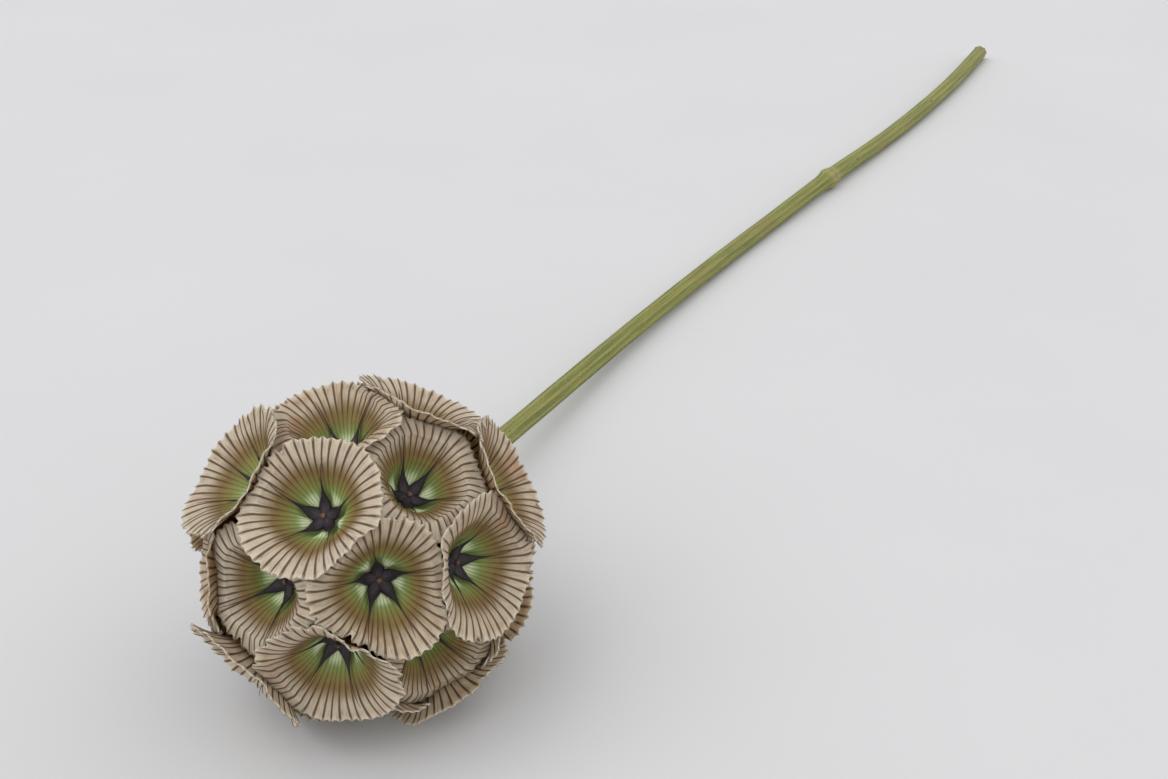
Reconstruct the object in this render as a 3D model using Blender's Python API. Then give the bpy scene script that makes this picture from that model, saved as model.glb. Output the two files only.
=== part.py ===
"""Starflower scabious: one cut stem with its dry, papery seed head, lying on a flat surface.

The head is a ball of some thirty papery cups. Each cup stands on a green tube that grows from a small
round core, and has a dark five-armed star at the bottom of its throat. Under the head is a ring of narrow
green bracts, and below them the ridged stem runs down to the surface and lies along it to its cut end.
The stem lies along X, with the head at the -X end. Metres, +Z up.
"""

import math

import bmesh
import bpy
import numpy as np

# Driving dimensions of the whole flower
OVERALL_LENGTH = 0.400
HEAD_RADIUS = 0.0230
HEAD_HEIGHT = 0.0217

# How the head is carried: its axis rises from the stem by the neck's tilt and turns aside by its yaw
NECK_TILT = math.radians(20.0)
NECK_YAW = math.radians(20.0)

# Papery cups
CUP_COUNT = 28
CUP_SIDES = 22
CUP_ROUND_RADIUS = 0.0100
CUP_DEPTH = 0.0064
CUP_WALL = 0.00075
CUP_RIM_INSET = 0.0014
CUP_GAP = 0.0003
CUP_LEVELS = 4
CUP_LEVEL_STEP = 0.00065
CUP_LEVEL_JITTER = 0.00012
CUP_NEIGHBOUR = math.radians(52.0)
CUP_LIFT_SHARE = 0.28
PLEAT_HEIGHT = 0.00038
RIM_SOFTNESS = 15.0
THROAT_RADIUS = 0.0016
BOWL_RADIUS = 0.0034
BOWL_HEIGHT = 0.0024
BOWL_BACK_INSET = 0.0003
BOWL_BACK_DROP = 0.0016
FLARE_SHARE = 0.78
FLARE_HEIGHT = 0.0057
FLARE_BACK_DROP = 0.0010
TUBE_RADIUS = 0.0020
TUBE_TOP_DROP = 0.0024
TUBE_ROOT_RADIUS = 0.0015
TUBE_ROOT_HEIGHT = 0.0061

# Spread of the cups over the ball: centres reach to one angle from the head's top, rims to another
CENTRE_LIMIT = math.radians(128.0)
RIM_LIMIT = math.radians(147.0)
GOLDEN_ANGLE = math.pi * (3.0 - math.sqrt(5.0))
SPIRAL_START = 0.6
SPREAD_STEPS = 200
SPREAD_PUSH = 0.003
SEED = 7

# Dark star in each cup
STAR_REACH = 0.0042
STAR_RISE = 0.0050
STAR_NOTCH = 0.0014
STAR_CROWN = 0.0016
STAR_NOTCH_HEIGHT = 0.0008
STAR_ROOT = 0.0015
STAR_ARMS = 5
STAR_TURN = 0.11

# Core that the tubes grow from
CORE_RADIUS = 0.0078
CORE_SIDES = 16
CORE_RINGS = 6
CORE_BASE = 0.0088
CORE_BASE_RADIUS = 0.0030
CORE_NECK = 0.0010

# Ring of bracts under the head
BRACT_COUNT = 10
BRACT_LENGTH = 0.0135
BRACT_WIDTH = 0.0025
BRACT_THICKNESS = 0.0007
BRACT_LEAN = math.radians(27.0)
BRACT_ROOT = 0.0020
BRACT_TIP = 0.00025
BRACT_CHANNEL = 0.25
BRACT_STEPS = 6
DISC_RADIUS = 0.0034
DISC_HEIGHT = 0.0016
DISC_SIDES = 12

# Stem
STEM_TOP_RADIUS = 0.0017
STEM_END_RADIUS = 0.0022
STEM_RIDGE = 0.06
STEM_SIDES = 16
STEM_RINGS = 40
STEM_FLARE = 0.0009
STEM_FLARE_LENGTH = 0.004
STEM_TOUCH = 0.170
STEM_SWAY = 0.0045
STEM_NODE_PLACE = 0.215
STEM_NODE_SWELL = 0.0006
STEM_NODE_LENGTH = 0.0030
STEM_NODE_RISE = 0.028
CUT_SLANT = 0.45

# Small clearance between pieces that touch, and the depth pressed flat where the head rests
CLEARANCE = 0.0003
PRESS_TOP = 0.0035
PRESS_DEPTH = 0.00135
PRESS_TRIM = 0.00030

# The flower's own box is centred on the origin by these two shifts
ROW_SHIFT_X = 0.00066
ROW_SHIFT_Y = 0.0


def clear_scene():
    """Remove every object that the file starts with."""
    for item in list(bpy.data.objects):
        bpy.data.objects.remove(item, do_unlink=True)


def make_material(name, colour, roughness):
    """A plain surface of one colour."""
    material = bpy.data.materials.new(name)
    material.use_nodes = True
    surface = material.node_tree.nodes["Principled BSDF"]
    surface.inputs["Base Color"].default_value = (*colour, 1.0)
    surface.inputs["Roughness"].default_value = roughness
    surface.inputs["Metallic"].default_value = 0.0
    return material


def make_object(name, points, faces, material):
    """An object from points and faces, with its faces turned outwards."""
    mesh = bpy.data.meshes.new(name)
    mesh.from_pydata([tuple(map(float, point)) for point in points], [], faces)
    shape = bmesh.new()
    shape.from_mesh(mesh)
    bmesh.ops.recalc_face_normals(shape, faces=shape.faces)
    shape.to_mesh(mesh)
    shape.free()
    mesh.materials.append(material)
    item = bpy.data.objects.new(name, mesh)
    bpy.context.scene.collection.objects.link(item)
    return item


def finish_smooth(item, angle):
    """Shade the faces smooth, and keep edges sharper than the angle."""
    item.data.shade_smooth()
    item.data.set_sharp_from_angle(angle=angle)


def unit(vector):
    """The vector at length one."""
    return vector / np.linalg.norm(vector, axis=-1, keepdims=True)


class RingMesh:
    """A closed skin over a chain of rings. Neighbouring rings have the same number of points, or one has
    twice as many as the other."""

    def __init__(self):
        self.points = []
        self.faces = []
        self.last = None

    def add_points(self, ring):
        start = len(self.points)
        self.points.extend(ring)
        return list(range(start, start + len(ring)))

    def ring(self, ring):
        new = self.add_points(ring)
        if self.last is None:
            self.first = new
        else:
            self.bridge(self.last, new)
        self.last = new

    def bridge(self, one, two):
        if len(one) < len(two):
            self.faces.extend([face[::-1] for face in self.strip(two, one)])
        else:
            self.faces.extend(self.strip(one, two))

    @staticmethod
    def strip(wide, narrow):
        """Triangles between two rings, all with the same slant."""
        faces = []
        step = len(wide) // len(narrow)
        for j in range(len(narrow)):
            k = (j + 1) % len(narrow)
            first = wide[j * step]
            after = wide[(j * step + step) % len(wide)]
            if step == 1:
                faces.append((first, after, narrow[j]))
                faces.append((after, narrow[k], narrow[j]))
            else:
                middle = wide[j * step + 1]
                faces.append((first, middle, narrow[j]))
                faces.append((middle, narrow[k], narrow[j]))
                faces.append((middle, after, narrow[k]))
        return faces

    def cap(self, ring, centre):
        """Close one end with a fan to a centre point."""
        middle = self.add_points([centre])[0]
        for j, point in enumerate(ring):
            self.faces.append((point, ring[(j + 1) % len(ring)], middle))


def circle(sides):
    """Angles of evenly spaced points round a circle."""
    return 2.0 * math.pi * np.arange(sides) / sides


def head_axis():
    """Direction from the stem through the head, and two directions square to it."""
    flat = np.array([-math.cos(NECK_YAW), -math.sin(NECK_YAW), 0.0])
    axis = math.cos(NECK_TILT) * flat + math.sin(NECK_TILT) * np.array([0.0, 0.0, 1.0])
    side = unit(np.cross(axis, np.array([0.0, 0.0, 1.0])))
    other = np.cross(axis, side)
    return axis, side, other


def neck_distance():
    """Distance from the head's centre to the top of the stem."""
    return CORE_BASE + DISC_HEIGHT + 2.0 * CLEARANCE


def head_centre():
    """The head's centre, with its far side at the -X end of the flower."""
    return np.array([HEAD_RADIUS - 0.5 * OVERALL_LENGTH + ROW_SHIFT_X, ROW_SHIFT_Y, HEAD_HEIGHT])


def press(points):
    """Where the head rests, its lowest part is pressed up evenly, less and less up to a height."""
    pressed = np.array(points, dtype=float)
    low = -PRESS_DEPTH
    share = (PRESS_TOP - pressed[:, 2]) / (PRESS_TOP - low)
    lifted = PRESS_TOP - (PRESS_TOP + PRESS_TRIM) * share
    pressed[:, 2] = np.where(pressed[:, 2] < PRESS_TOP, lifted, pressed[:, 2])
    return pressed


def cup_centres():
    """Directions of the cups in the head's own axes (third axis along the head): a spiral from the top,
    then evened out by steps in which every centre moves away from its neighbours."""
    index = np.arange(CUP_COUNT)
    cosine = 1.0 - (index + 0.5) / CUP_COUNT * (1.0 - math.cos(CENTRE_LIMIT))
    turn = index * GOLDEN_ANGLE + SPIRAL_START
    sine = np.sqrt(1.0 - cosine**2)
    centres = np.stack([sine * np.cos(turn), sine * np.sin(turn), cosine], axis=1)
    for _ in range(SPREAD_STEPS):
        apart = centres[:, None, :] - centres[None, :, :]
        distance = np.linalg.norm(apart, axis=2)
        np.fill_diagonal(distance, 1.0)
        push = (apart / distance[:, :, None] ** 5).sum(axis=1)
        centres = unit(centres + SPREAD_PUSH * push)
        lowest = math.cos(CENTRE_LIMIT)
        height = np.maximum(centres[:, 2], lowest)
        flat = unit(centres[:, :2]) * np.sqrt(1.0 - height**2)[:, None]
        centres = np.concatenate([flat, height[:, None]], axis=1)
    return centres


def cup_lifts(centres, rng):
    """Height of each cup above or below the ball. Each takes the lowest level that no neighbour has, so
    that the rims of neighbours pass over and under each other."""
    near = centres @ centres.T > math.cos(CUP_NEIGHBOUR)
    levels = np.full(CUP_COUNT, -1)
    for index in range(CUP_COUNT):
        taken = levels[near[index]]
        counts = [(int((taken == level).sum()), level) for level in range(CUP_LEVELS)]
        levels[index] = min(counts)[1]
    jitter = CUP_LEVEL_JITTER * rng.uniform(-1.0, 1.0, CUP_COUNT)
    return (levels - 0.5 * (CUP_LEVELS - 1)) * CUP_LEVEL_STEP + jitter


def cup_limits(index, centres, lifts, outwards, height):
    """Distance from a cup's axis, towards each of its sides, to the planes that part it from its
    neighbours. A cup that stands higher than its neighbour takes more of the room between them. The
    lowest cups also stop at a cone round the stem, as if at a neighbour mirrored in it."""
    centre = centres[index]
    others = np.delete(centres, index, axis=0)
    rise = lifts[index] - np.delete(lifts, index)
    polar = math.acos(centre[2])
    mirrored = 2.0 * RIM_LIMIT - polar
    flat = unit(centre[:2])
    below = np.array([*(flat * math.sin(mirrored)), math.cos(mirrored)])
    others = np.vstack([others, below])
    rise = np.append(rise, 0.0)
    away = 1.0 - others @ centre
    reach = outwards @ others.T
    parting = CUP_GAP / 2.0 - CUP_LIFT_SHARE * rise
    room = height * away - parting * np.sqrt(2.0 * away)
    return np.where(reach > 0.05, room / np.maximum(reach, 0.05), 1.0)


def rim_radii(index, centres, lifts, outwards, height):
    """Rim radius towards each side: a soft least of the cup's round radius and its limits."""
    limits = cup_limits(index, centres, lifts, outwards, height)
    total = CUP_ROUND_RADIUS**-RIM_SOFTNESS + (limits**-RIM_SOFTNESS).sum(axis=1)
    return total ** (-1.0 / RIM_SOFTNESS)


def cup_frame(centre, turn):
    """Two directions square to a cup's axis, turned about it."""
    helper = np.array([1.0, 0.0, 0.0]) if abs(centre[0]) < 0.8 else np.array([0.0, 1.0, 0.0])
    first = unit(np.cross(centre, helper))
    second = np.cross(centre, first)
    return (
        math.cos(turn) * first + math.sin(turn) * second,
        math.cos(turn) * second - math.sin(turn) * first,
    )


def cup_mesh(index, centres, lifts, turn):
    """One papery cup on its tube: a bowl, a flare and a pleated rim inside, and the same outside, down
    to the root of the tube in the core."""
    axis = centres[index]
    first, second = cup_frame(axis, turn)
    angles = circle(CUP_SIDES)
    outwards = np.outer(np.cos(angles), first) + np.outer(np.sin(angles), second)
    sparse = outwards[::2]
    rim_height = HEAD_RADIUS - CUP_RIM_INSET + lifts[index]
    floor = rim_height - CUP_DEPTH
    rim = rim_radii(index, centres, lifts, outwards, rim_height - CUP_WALL - PLEAT_HEIGHT)
    pleat = PLEAT_HEIGHT * np.where(np.arange(CUP_SIDES) % 2 == 0, 1.0, -1.0)

    def ring(directions, radii, heights):
        return np.reshape(radii, (-1, 1)) * directions + np.reshape(heights, (-1, 1)) * axis

    mesh = RingMesh()
    mesh.ring(ring(sparse, THROAT_RADIUS, floor))
    mesh.ring(ring(outwards, BOWL_RADIUS, floor + BOWL_HEIGHT + 0.5 * pleat))
    mesh.ring(ring(outwards, FLARE_SHARE * rim, floor + FLARE_HEIGHT + pleat))
    mesh.ring(ring(outwards, rim, rim_height + pleat))
    mesh.ring(ring(outwards, rim, rim_height - CUP_WALL + pleat))
    mesh.ring(ring(outwards, FLARE_SHARE * rim, floor + FLARE_HEIGHT - FLARE_BACK_DROP + pleat))
    mesh.ring(ring(sparse, BOWL_RADIUS - BOWL_BACK_INSET, floor + BOWL_HEIGHT - BOWL_BACK_DROP))
    mesh.ring(ring(sparse, TUBE_RADIUS, floor - TUBE_TOP_DROP))
    mesh.ring(ring(sparse, TUBE_ROOT_RADIUS, TUBE_ROOT_HEIGHT))
    mesh.cap(mesh.first, floor * axis)
    mesh.cap(mesh.last, TUBE_ROOT_HEIGHT * axis)
    return mesh.points, mesh.faces


def star_mesh(axis, turn, floor):
    """The dark star: arms that rise from a crown at the bottom of the throat to a point each, keeled
    below, with the keel sunk into the floor."""
    first, second = cup_frame(axis, turn)
    points = [axis * (floor + STAR_CROWN), axis * (floor - STAR_ROOT)]
    faces = []
    for arm in range(STAR_ARMS):
        tip_angle = 2.0 * math.pi * arm / STAR_ARMS
        notch_angle = tip_angle + math.pi / STAR_ARMS
        tip = math.cos(tip_angle) * first + math.sin(tip_angle) * second
        notch = math.cos(notch_angle) * first + math.sin(notch_angle) * second
        points.append(STAR_REACH * tip + (floor + STAR_RISE) * axis)
        points.append(STAR_NOTCH * notch + (floor + STAR_NOTCH_HEIGHT) * axis)
    for arm in range(STAR_ARMS):
        tip = 2 + 2 * arm
        notch = tip + 1
        before = 2 + (2 * arm - 1) % (2 * STAR_ARMS)
        faces.extend([(0, tip, notch), (0, before, tip), (1, notch, tip), (1, tip, before)])
    return points, faces


def level_ring(radius, height, sides):
    """A ring square to the head's axis."""
    angles = circle(sides)
    return np.stack([radius * np.cos(angles), radius * np.sin(angles), np.full(sides, height)], axis=1)


def core_mesh():
    """The round core, with a short flat-ended neck where it sits on the bracts' disc."""
    mesh = RingMesh()
    for polar in np.radians(np.linspace(22.0, 134.0, CORE_RINGS)):
        mesh.ring(level_ring(CORE_RADIUS * math.sin(polar), CORE_RADIUS * math.cos(polar), CORE_SIDES))
    mesh.ring(level_ring(CORE_BASE_RADIUS, CORE_NECK - CORE_BASE, CORE_SIDES))
    mesh.ring(level_ring(CORE_BASE_RADIUS, -CORE_BASE, CORE_SIDES))
    mesh.cap(mesh.first, np.array([0.0, 0.0, CORE_RADIUS]))
    mesh.cap(mesh.last, np.array([0.0, 0.0, -CORE_BASE]))
    return mesh.points, mesh.faces


def to_world(points):
    """From the head's own axes to the flower's."""
    axis, side, other = head_axis()
    points = np.array(points)
    return head_centre() + points[:, :1] * side + points[:, 1:2] * other + points[:, 2:3] * axis


def move_points(item, place):
    """Put every point of a mesh where a function places it."""
    count = len(item.data.vertices)
    flat = np.empty(3 * count, dtype=np.float32)
    item.data.vertices.foreach_get("co", flat)
    moved = place(flat.reshape(count, 3).astype(float))
    item.data.vertices.foreach_set("co", moved.astype(np.float32).ravel())
    item.data.update()


def apply_modifiers(item):
    """Keep the item's evaluated mesh as its own and drop its modifiers."""
    bpy.context.view_layer.update()
    graph = bpy.context.evaluated_depsgraph_get()
    mesh = bpy.data.meshes.new_from_object(item.evaluated_get(graph))
    item.modifiers.clear()
    item.data = mesh


def fuse(body, pieces):
    """One union of a body with all of its pieces, which are then removed."""
    group = bpy.data.collections.new(body.name + "_pieces")
    bpy.context.scene.collection.children.link(group)
    for piece in pieces:
        bpy.context.scene.collection.objects.unlink(piece)
        group.objects.link(piece)
    union = body.modifiers.new("union", "BOOLEAN")
    union.operation = "UNION"
    union.operand_type = "COLLECTION"
    union.collection = group
    union.solver = "MANIFOLD"
    apply_modifiers(body)
    for piece in list(group.objects):
        bpy.data.objects.remove(piece, do_unlink=True)
    bpy.data.collections.remove(group)


def trim_below(body, height):
    """Cut away what reaches below a height, which leaves flat spots to rest on."""
    low = height - 0.02
    corners = [
        (x, y, z)
        for z in (low, height)
        for x, y in ((-1.0, -1.0), (1.0, -1.0), (1.0, 1.0), (-1.0, 1.0))
    ]
    sides = [(0, 1, 5, 4), (1, 2, 6, 5), (2, 3, 7, 6), (3, 0, 4, 7), (3, 2, 1, 0), (4, 5, 6, 7)]
    cutter = make_object("floor_cutter", corners, sides, body.data.materials[0])
    cut = body.modifiers.new("trim", "BOOLEAN")
    cut.operation = "DIFFERENCE"
    cut.object = cutter
    cut.solver = "MANIFOLD"
    apply_modifiers(body)
    bpy.data.objects.remove(cutter, do_unlink=True)


def make_seed_head():
    """Core, tubes, cups and stars, fused in one solid and trimmed flat where it rests."""
    rng = np.random.default_rng(SEED)
    centres = cup_centres()
    lifts = cup_lifts(centres, rng)
    turns = rng.uniform(0.0, 2.0 * math.pi, CUP_COUNT)
    paper = make_material("papery_cup", (0.30, 0.225, 0.15), 0.8)
    points, faces = core_mesh()
    head = make_object("seed_head", points, faces, paper)
    pieces = []
    for index in range(CUP_COUNT):
        points, faces = cup_mesh(index, centres, lifts, turns[index])
        pieces.append(make_object(f"cup_{index:02d}", points, faces, paper))
        floor = HEAD_RADIUS - CUP_RIM_INSET + lifts[index] - CUP_DEPTH
        points, faces = star_mesh(centres[index], turns[index] + STAR_TURN, floor)
        pieces.append(make_object(f"star_{index:02d}", points, faces, paper))
    fuse(head, pieces)
    move_points(head, lambda points: press(to_world(points)))
    trim_below(head, 0.0)
    finish_smooth(head, math.radians(35.0))
    return head


def stem_length():
    """Length along X from the top of the stem to its cut end."""
    axis, _, _ = head_axis()
    top = head_centre() - neck_distance() * axis
    return 0.5 * OVERALL_LENGTH + ROW_SHIFT_X - top[0]


def stem_taper(along):
    """Radius of the plain stem at a distance from its top."""
    return STEM_TOP_RADIUS + (STEM_END_RADIUS - STEM_TOP_RADIUS) * along / stem_length()


def stem_radius(along):
    """The taper with a flare under the head and one swollen node."""
    flare = STEM_FLARE * np.exp(-along / STEM_FLARE_LENGTH)
    node = STEM_NODE_SWELL * np.exp(-(((along - STEM_NODE_PLACE) / STEM_NODE_LENGTH) ** 2))
    return stem_taper(along) + flare + node


def stem_centres(along):
    """Centre line: it leaves the head along the head's axis, settles to the surface along a fading
    exponential, and then lies on it with a slow sideways sway, a little raised where its node rests."""
    axis, _, _ = head_axis()
    top = head_centre() - neck_distance() * axis
    raised = STEM_NODE_SWELL * np.exp(-(((along - STEM_NODE_PLACE) / STEM_NODE_RISE) ** 2))
    lying = (stem_taper(along) + raised) * (1.0 + STEM_RIDGE)
    drop = top[2] - STEM_TOP_RADIUS * (1.0 + STEM_RIDGE)
    fade = -drop * axis[0] / axis[2]
    end = math.exp(-STEM_TOUCH / fade)
    settle = np.maximum(np.exp(-along / fade) - end, 0.0) / (1.0 - end)
    sway = STEM_SWAY * np.sin(2.0 * math.pi * along / stem_length()) * along / stem_length()
    aside = (axis[1] / axis[0]) * fade * (1.0 - np.exp(-along / fade)) + sway
    return np.stack([top[0] + along, top[1] + aside, lying + drop * settle], axis=1)


def make_stem():
    """The ridged stem: rings square to its centre line, closed by a slanting cut."""
    length = stem_length()
    along = length * (np.arange(STEM_RINGS) / (STEM_RINGS - 1)) ** 1.25
    centres = stem_centres(along)
    step = 0.0005
    tangents = unit(stem_centres(along + step) - stem_centres(along - step))
    axis, _, _ = head_axis()
    tangents[0] = -axis
    sides = unit(np.cross(tangents, np.array([0.0, 0.0, 1.0])))
    ups = np.cross(sides, tangents)
    angles = circle(STEM_SIDES) - math.pi / 2.0
    ridge = 1.0 + STEM_RIDGE * np.where(np.arange(STEM_SIDES) % 2 == 0, 1.0, -1.0)
    radii = stem_radius(along)
    mesh = RingMesh()
    for j in range(STEM_RINGS):
        across = radii[j] * ridge[:, None]
        ring = centres[j] + across * (np.outer(np.cos(angles), sides[j]) + np.outer(np.sin(angles), ups[j]))
        if j == STEM_RINGS - 1:
            ring[:, 0] -= CUT_SLANT * ring[:, 2]
            centres[j, 0] -= CUT_SLANT * centres[j, 2]
        mesh.ring(ring)
    mesh.cap(mesh.first, centres[0])
    mesh.cap(mesh.last, centres[-1])
    green = make_material("green_stem", (0.30, 0.36, 0.07), 0.5)
    stem = make_object("stem", mesh.points, mesh.faces, green)
    finish_smooth(stem, math.radians(45.0))
    return stem


def bract_mesh(turn, length, curl):
    """One narrow channelled blade: it leaves the disc nearly square to the stem and bends back along it."""
    outward = np.array([math.cos(turn), math.sin(turn), 0.0])
    across = np.array([-math.sin(turn), math.cos(turn), 0.0])
    down = np.array([0.0, 0.0, -1.0])
    place = BRACT_ROOT * outward + (CORE_BASE + CLEARANCE + 0.5 * DISC_HEIGHT) * down
    points = []
    faces = []
    for j in range(BRACT_STEPS + 1):
        share = j / BRACT_STEPS
        lean = BRACT_LEAN + curl * share
        direction = math.cos(lean) * outward + math.sin(lean) * down
        normal = math.sin(lean) * outward - math.cos(lean) * down
        half = 0.5 * BRACT_WIDTH * (1.0 - share**2.2) * (0.75 + 0.5 * share) + BRACT_TIP
        edge = BRACT_CHANNEL * half
        for side, rise in ((-1.0, edge), (0.0, 0.0), (1.0, edge)):
            points.append(place + side * half * across + rise * normal)
        for side, rise in ((1.0, edge), (0.0, 0.0), (-1.0, edge)):
            points.append(place + side * half * across + (rise - BRACT_THICKNESS) * normal)
        place = place + length / BRACT_STEPS * direction
    for j in range(BRACT_STEPS):
        for k in range(6):
            a = 6 * j + k
            b = 6 * j + (k + 1) % 6
            faces.extend([(a, b, a + 6), (b, b + 6, a + 6)])
    for first in (0, 6 * BRACT_STEPS):
        left, middle, right, right_back, middle_back, left_back = range(first, first + 6)
        faces.extend([(left, left_back, middle), (middle, left_back, middle_back)])
        faces.extend([(middle, middle_back, right), (right, middle_back, right_back)])
    return points, faces


def make_bracts():
    """The green disc at the base of the head, with its whorl of bracts fused to it."""
    rng = np.random.default_rng(SEED + 1)
    green = make_material("green_bract", (0.16, 0.24, 0.06), 0.6)
    top = -(CORE_BASE + CLEARANCE)
    mesh = RingMesh()
    for radius_share, depth_share in ((0.8, 0.0), (1.0, 0.3), (1.0, 0.7), (0.8, 1.0)):
        mesh.ring(level_ring(radius_share * DISC_RADIUS, top - depth_share * DISC_HEIGHT, DISC_SIDES))
    mesh.cap(mesh.first, np.array([0.0, 0.0, top]))
    mesh.cap(mesh.last, np.array([0.0, 0.0, top - DISC_HEIGHT]))
    bracts = make_object("bracts", mesh.points, mesh.faces, green)
    pieces = []
    for index in range(BRACT_COUNT):
        turn = 2.0 * math.pi * (index + 0.25 * rng.uniform(-1.0, 1.0)) / BRACT_COUNT
        length = BRACT_LENGTH * rng.uniform(0.85, 1.15)
        curl = math.radians(rng.uniform(42.0, 85.0))
        points, faces = bract_mesh(turn, length, curl)
        pieces.append(make_object(f"bract_{index}", points, faces, green))
    fuse(bracts, pieces)
    move_points(bracts, to_world)
    finish_smooth(bracts, math.radians(35.0))
    return bracts


clear_scene()
make_seed_head()
make_bracts()
make_stem()
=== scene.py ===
"""Starflower scabious: a dry, papery seed head on its cut stem, lying down. New surfaces stand in for the
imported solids. Metres, +Z up. The stem lies along X with the head at the -X end."""

import math

import bpy
import numpy as np
from mathutils import Matrix


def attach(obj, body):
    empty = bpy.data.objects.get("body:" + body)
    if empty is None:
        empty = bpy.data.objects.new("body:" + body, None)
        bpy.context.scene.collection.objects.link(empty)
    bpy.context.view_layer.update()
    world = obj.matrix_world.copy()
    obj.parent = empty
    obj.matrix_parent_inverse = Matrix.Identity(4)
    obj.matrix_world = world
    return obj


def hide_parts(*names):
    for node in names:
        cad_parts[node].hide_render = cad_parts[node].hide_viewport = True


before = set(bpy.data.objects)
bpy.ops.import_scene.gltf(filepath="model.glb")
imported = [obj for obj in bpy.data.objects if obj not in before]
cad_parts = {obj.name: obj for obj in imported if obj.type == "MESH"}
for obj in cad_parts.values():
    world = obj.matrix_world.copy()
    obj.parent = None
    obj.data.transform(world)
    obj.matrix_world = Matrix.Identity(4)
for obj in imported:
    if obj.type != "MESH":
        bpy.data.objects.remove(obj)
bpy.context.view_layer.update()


# The receptacle: the small round core of the head, a firm green knob that every fruit grows from. Low bumps
# cover it, where the fruits sit. It grew as one with them, and its short neck stands on the bracts' disc.
MILLIMETRE = 0.001
FULL_TURN = 2.0 * math.pi
UP = np.array([0.0, 0.0, 1.0])
OVERALL_LENGTH = 400.0 * MILLIMETRE
HEAD_RADIUS = 23.0 * MILLIMETRE
HEAD_HEIGHT = 21.7 * MILLIMETRE
ROW_SHIFT = 0.66 * MILLIMETRE
NECK_TILT = math.radians(20.0)
NECK_YAW = math.radians(20.0)
CORE_RADIUS = 7.8 * MILLIMETRE
CORE_BASE = 8.8 * MILLIMETRE
CORE_BASE_RADIUS = 3.0 * MILLIMETRE
CORE_BUMP = 0.22 * MILLIMETRE
CORE_BUMPS_DOWN = 14.0
CORE_BUMPS_ROUND = 12.0
CORE_BUMPS_TWIST = 6.0
CORE_TOP_DEGREES = 3.0
CORE_FOOT_DEGREES = 134.0
CORE_RINGS = 60
CORE_NECK_RINGS = 3
CORE_SIDES = 96


def unit(vector):
    """The vector at length one."""
    return vector / np.linalg.norm(vector, axis=-1, keepdims=True)


def head_axes():
    """Two directions square to the head's axis, the first of them level, and the axis, away from the stem."""
    flat = np.array([-math.cos(NECK_YAW), -math.sin(NECK_YAW), 0.0])
    along = math.cos(NECK_TILT) * flat + math.sin(NECK_TILT) * UP
    first = unit(np.cross(along, UP))
    return first, np.cross(along, first), along


HEAD_CENTRE = np.array([HEAD_RADIUS - 0.5 * OVERALL_LENGTH + ROW_SHIFT, 0.0, HEAD_HEIGHT])
HEAD_TURN = np.stack(head_axes())


def from_head(points):
    """From the head's own axes, third axis along the head, to the flower's."""
    return HEAD_CENTRE + np.asarray(points) @ HEAD_TURN


def circle(sides):
    """Angles of evenly spaced points round a circle."""
    return FULL_TURN * np.arange(sides) / sides


def turned(radius, turn, height):
    """Points at a radius and a turn round the third axis, and at a height along it."""
    return np.stack(np.broadcast_arrays(radius * np.cos(turn), radius * np.sin(turn), height), axis=-1)


def smooth_step(low, high, value):
    """0 below one value and 1 above the other, with a smooth S between them."""
    share = np.clip((value - low) / (high - low), 0.0, 1.0)
    return share * share * (3.0 - 2.0 * share)


def put_in_scene(name, data):
    """A new object that shows a mesh, a lamp or a camera."""
    item = bpy.data.objects.new(name, data)
    bpy.context.scene.collection.objects.link(item)
    return item


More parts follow.
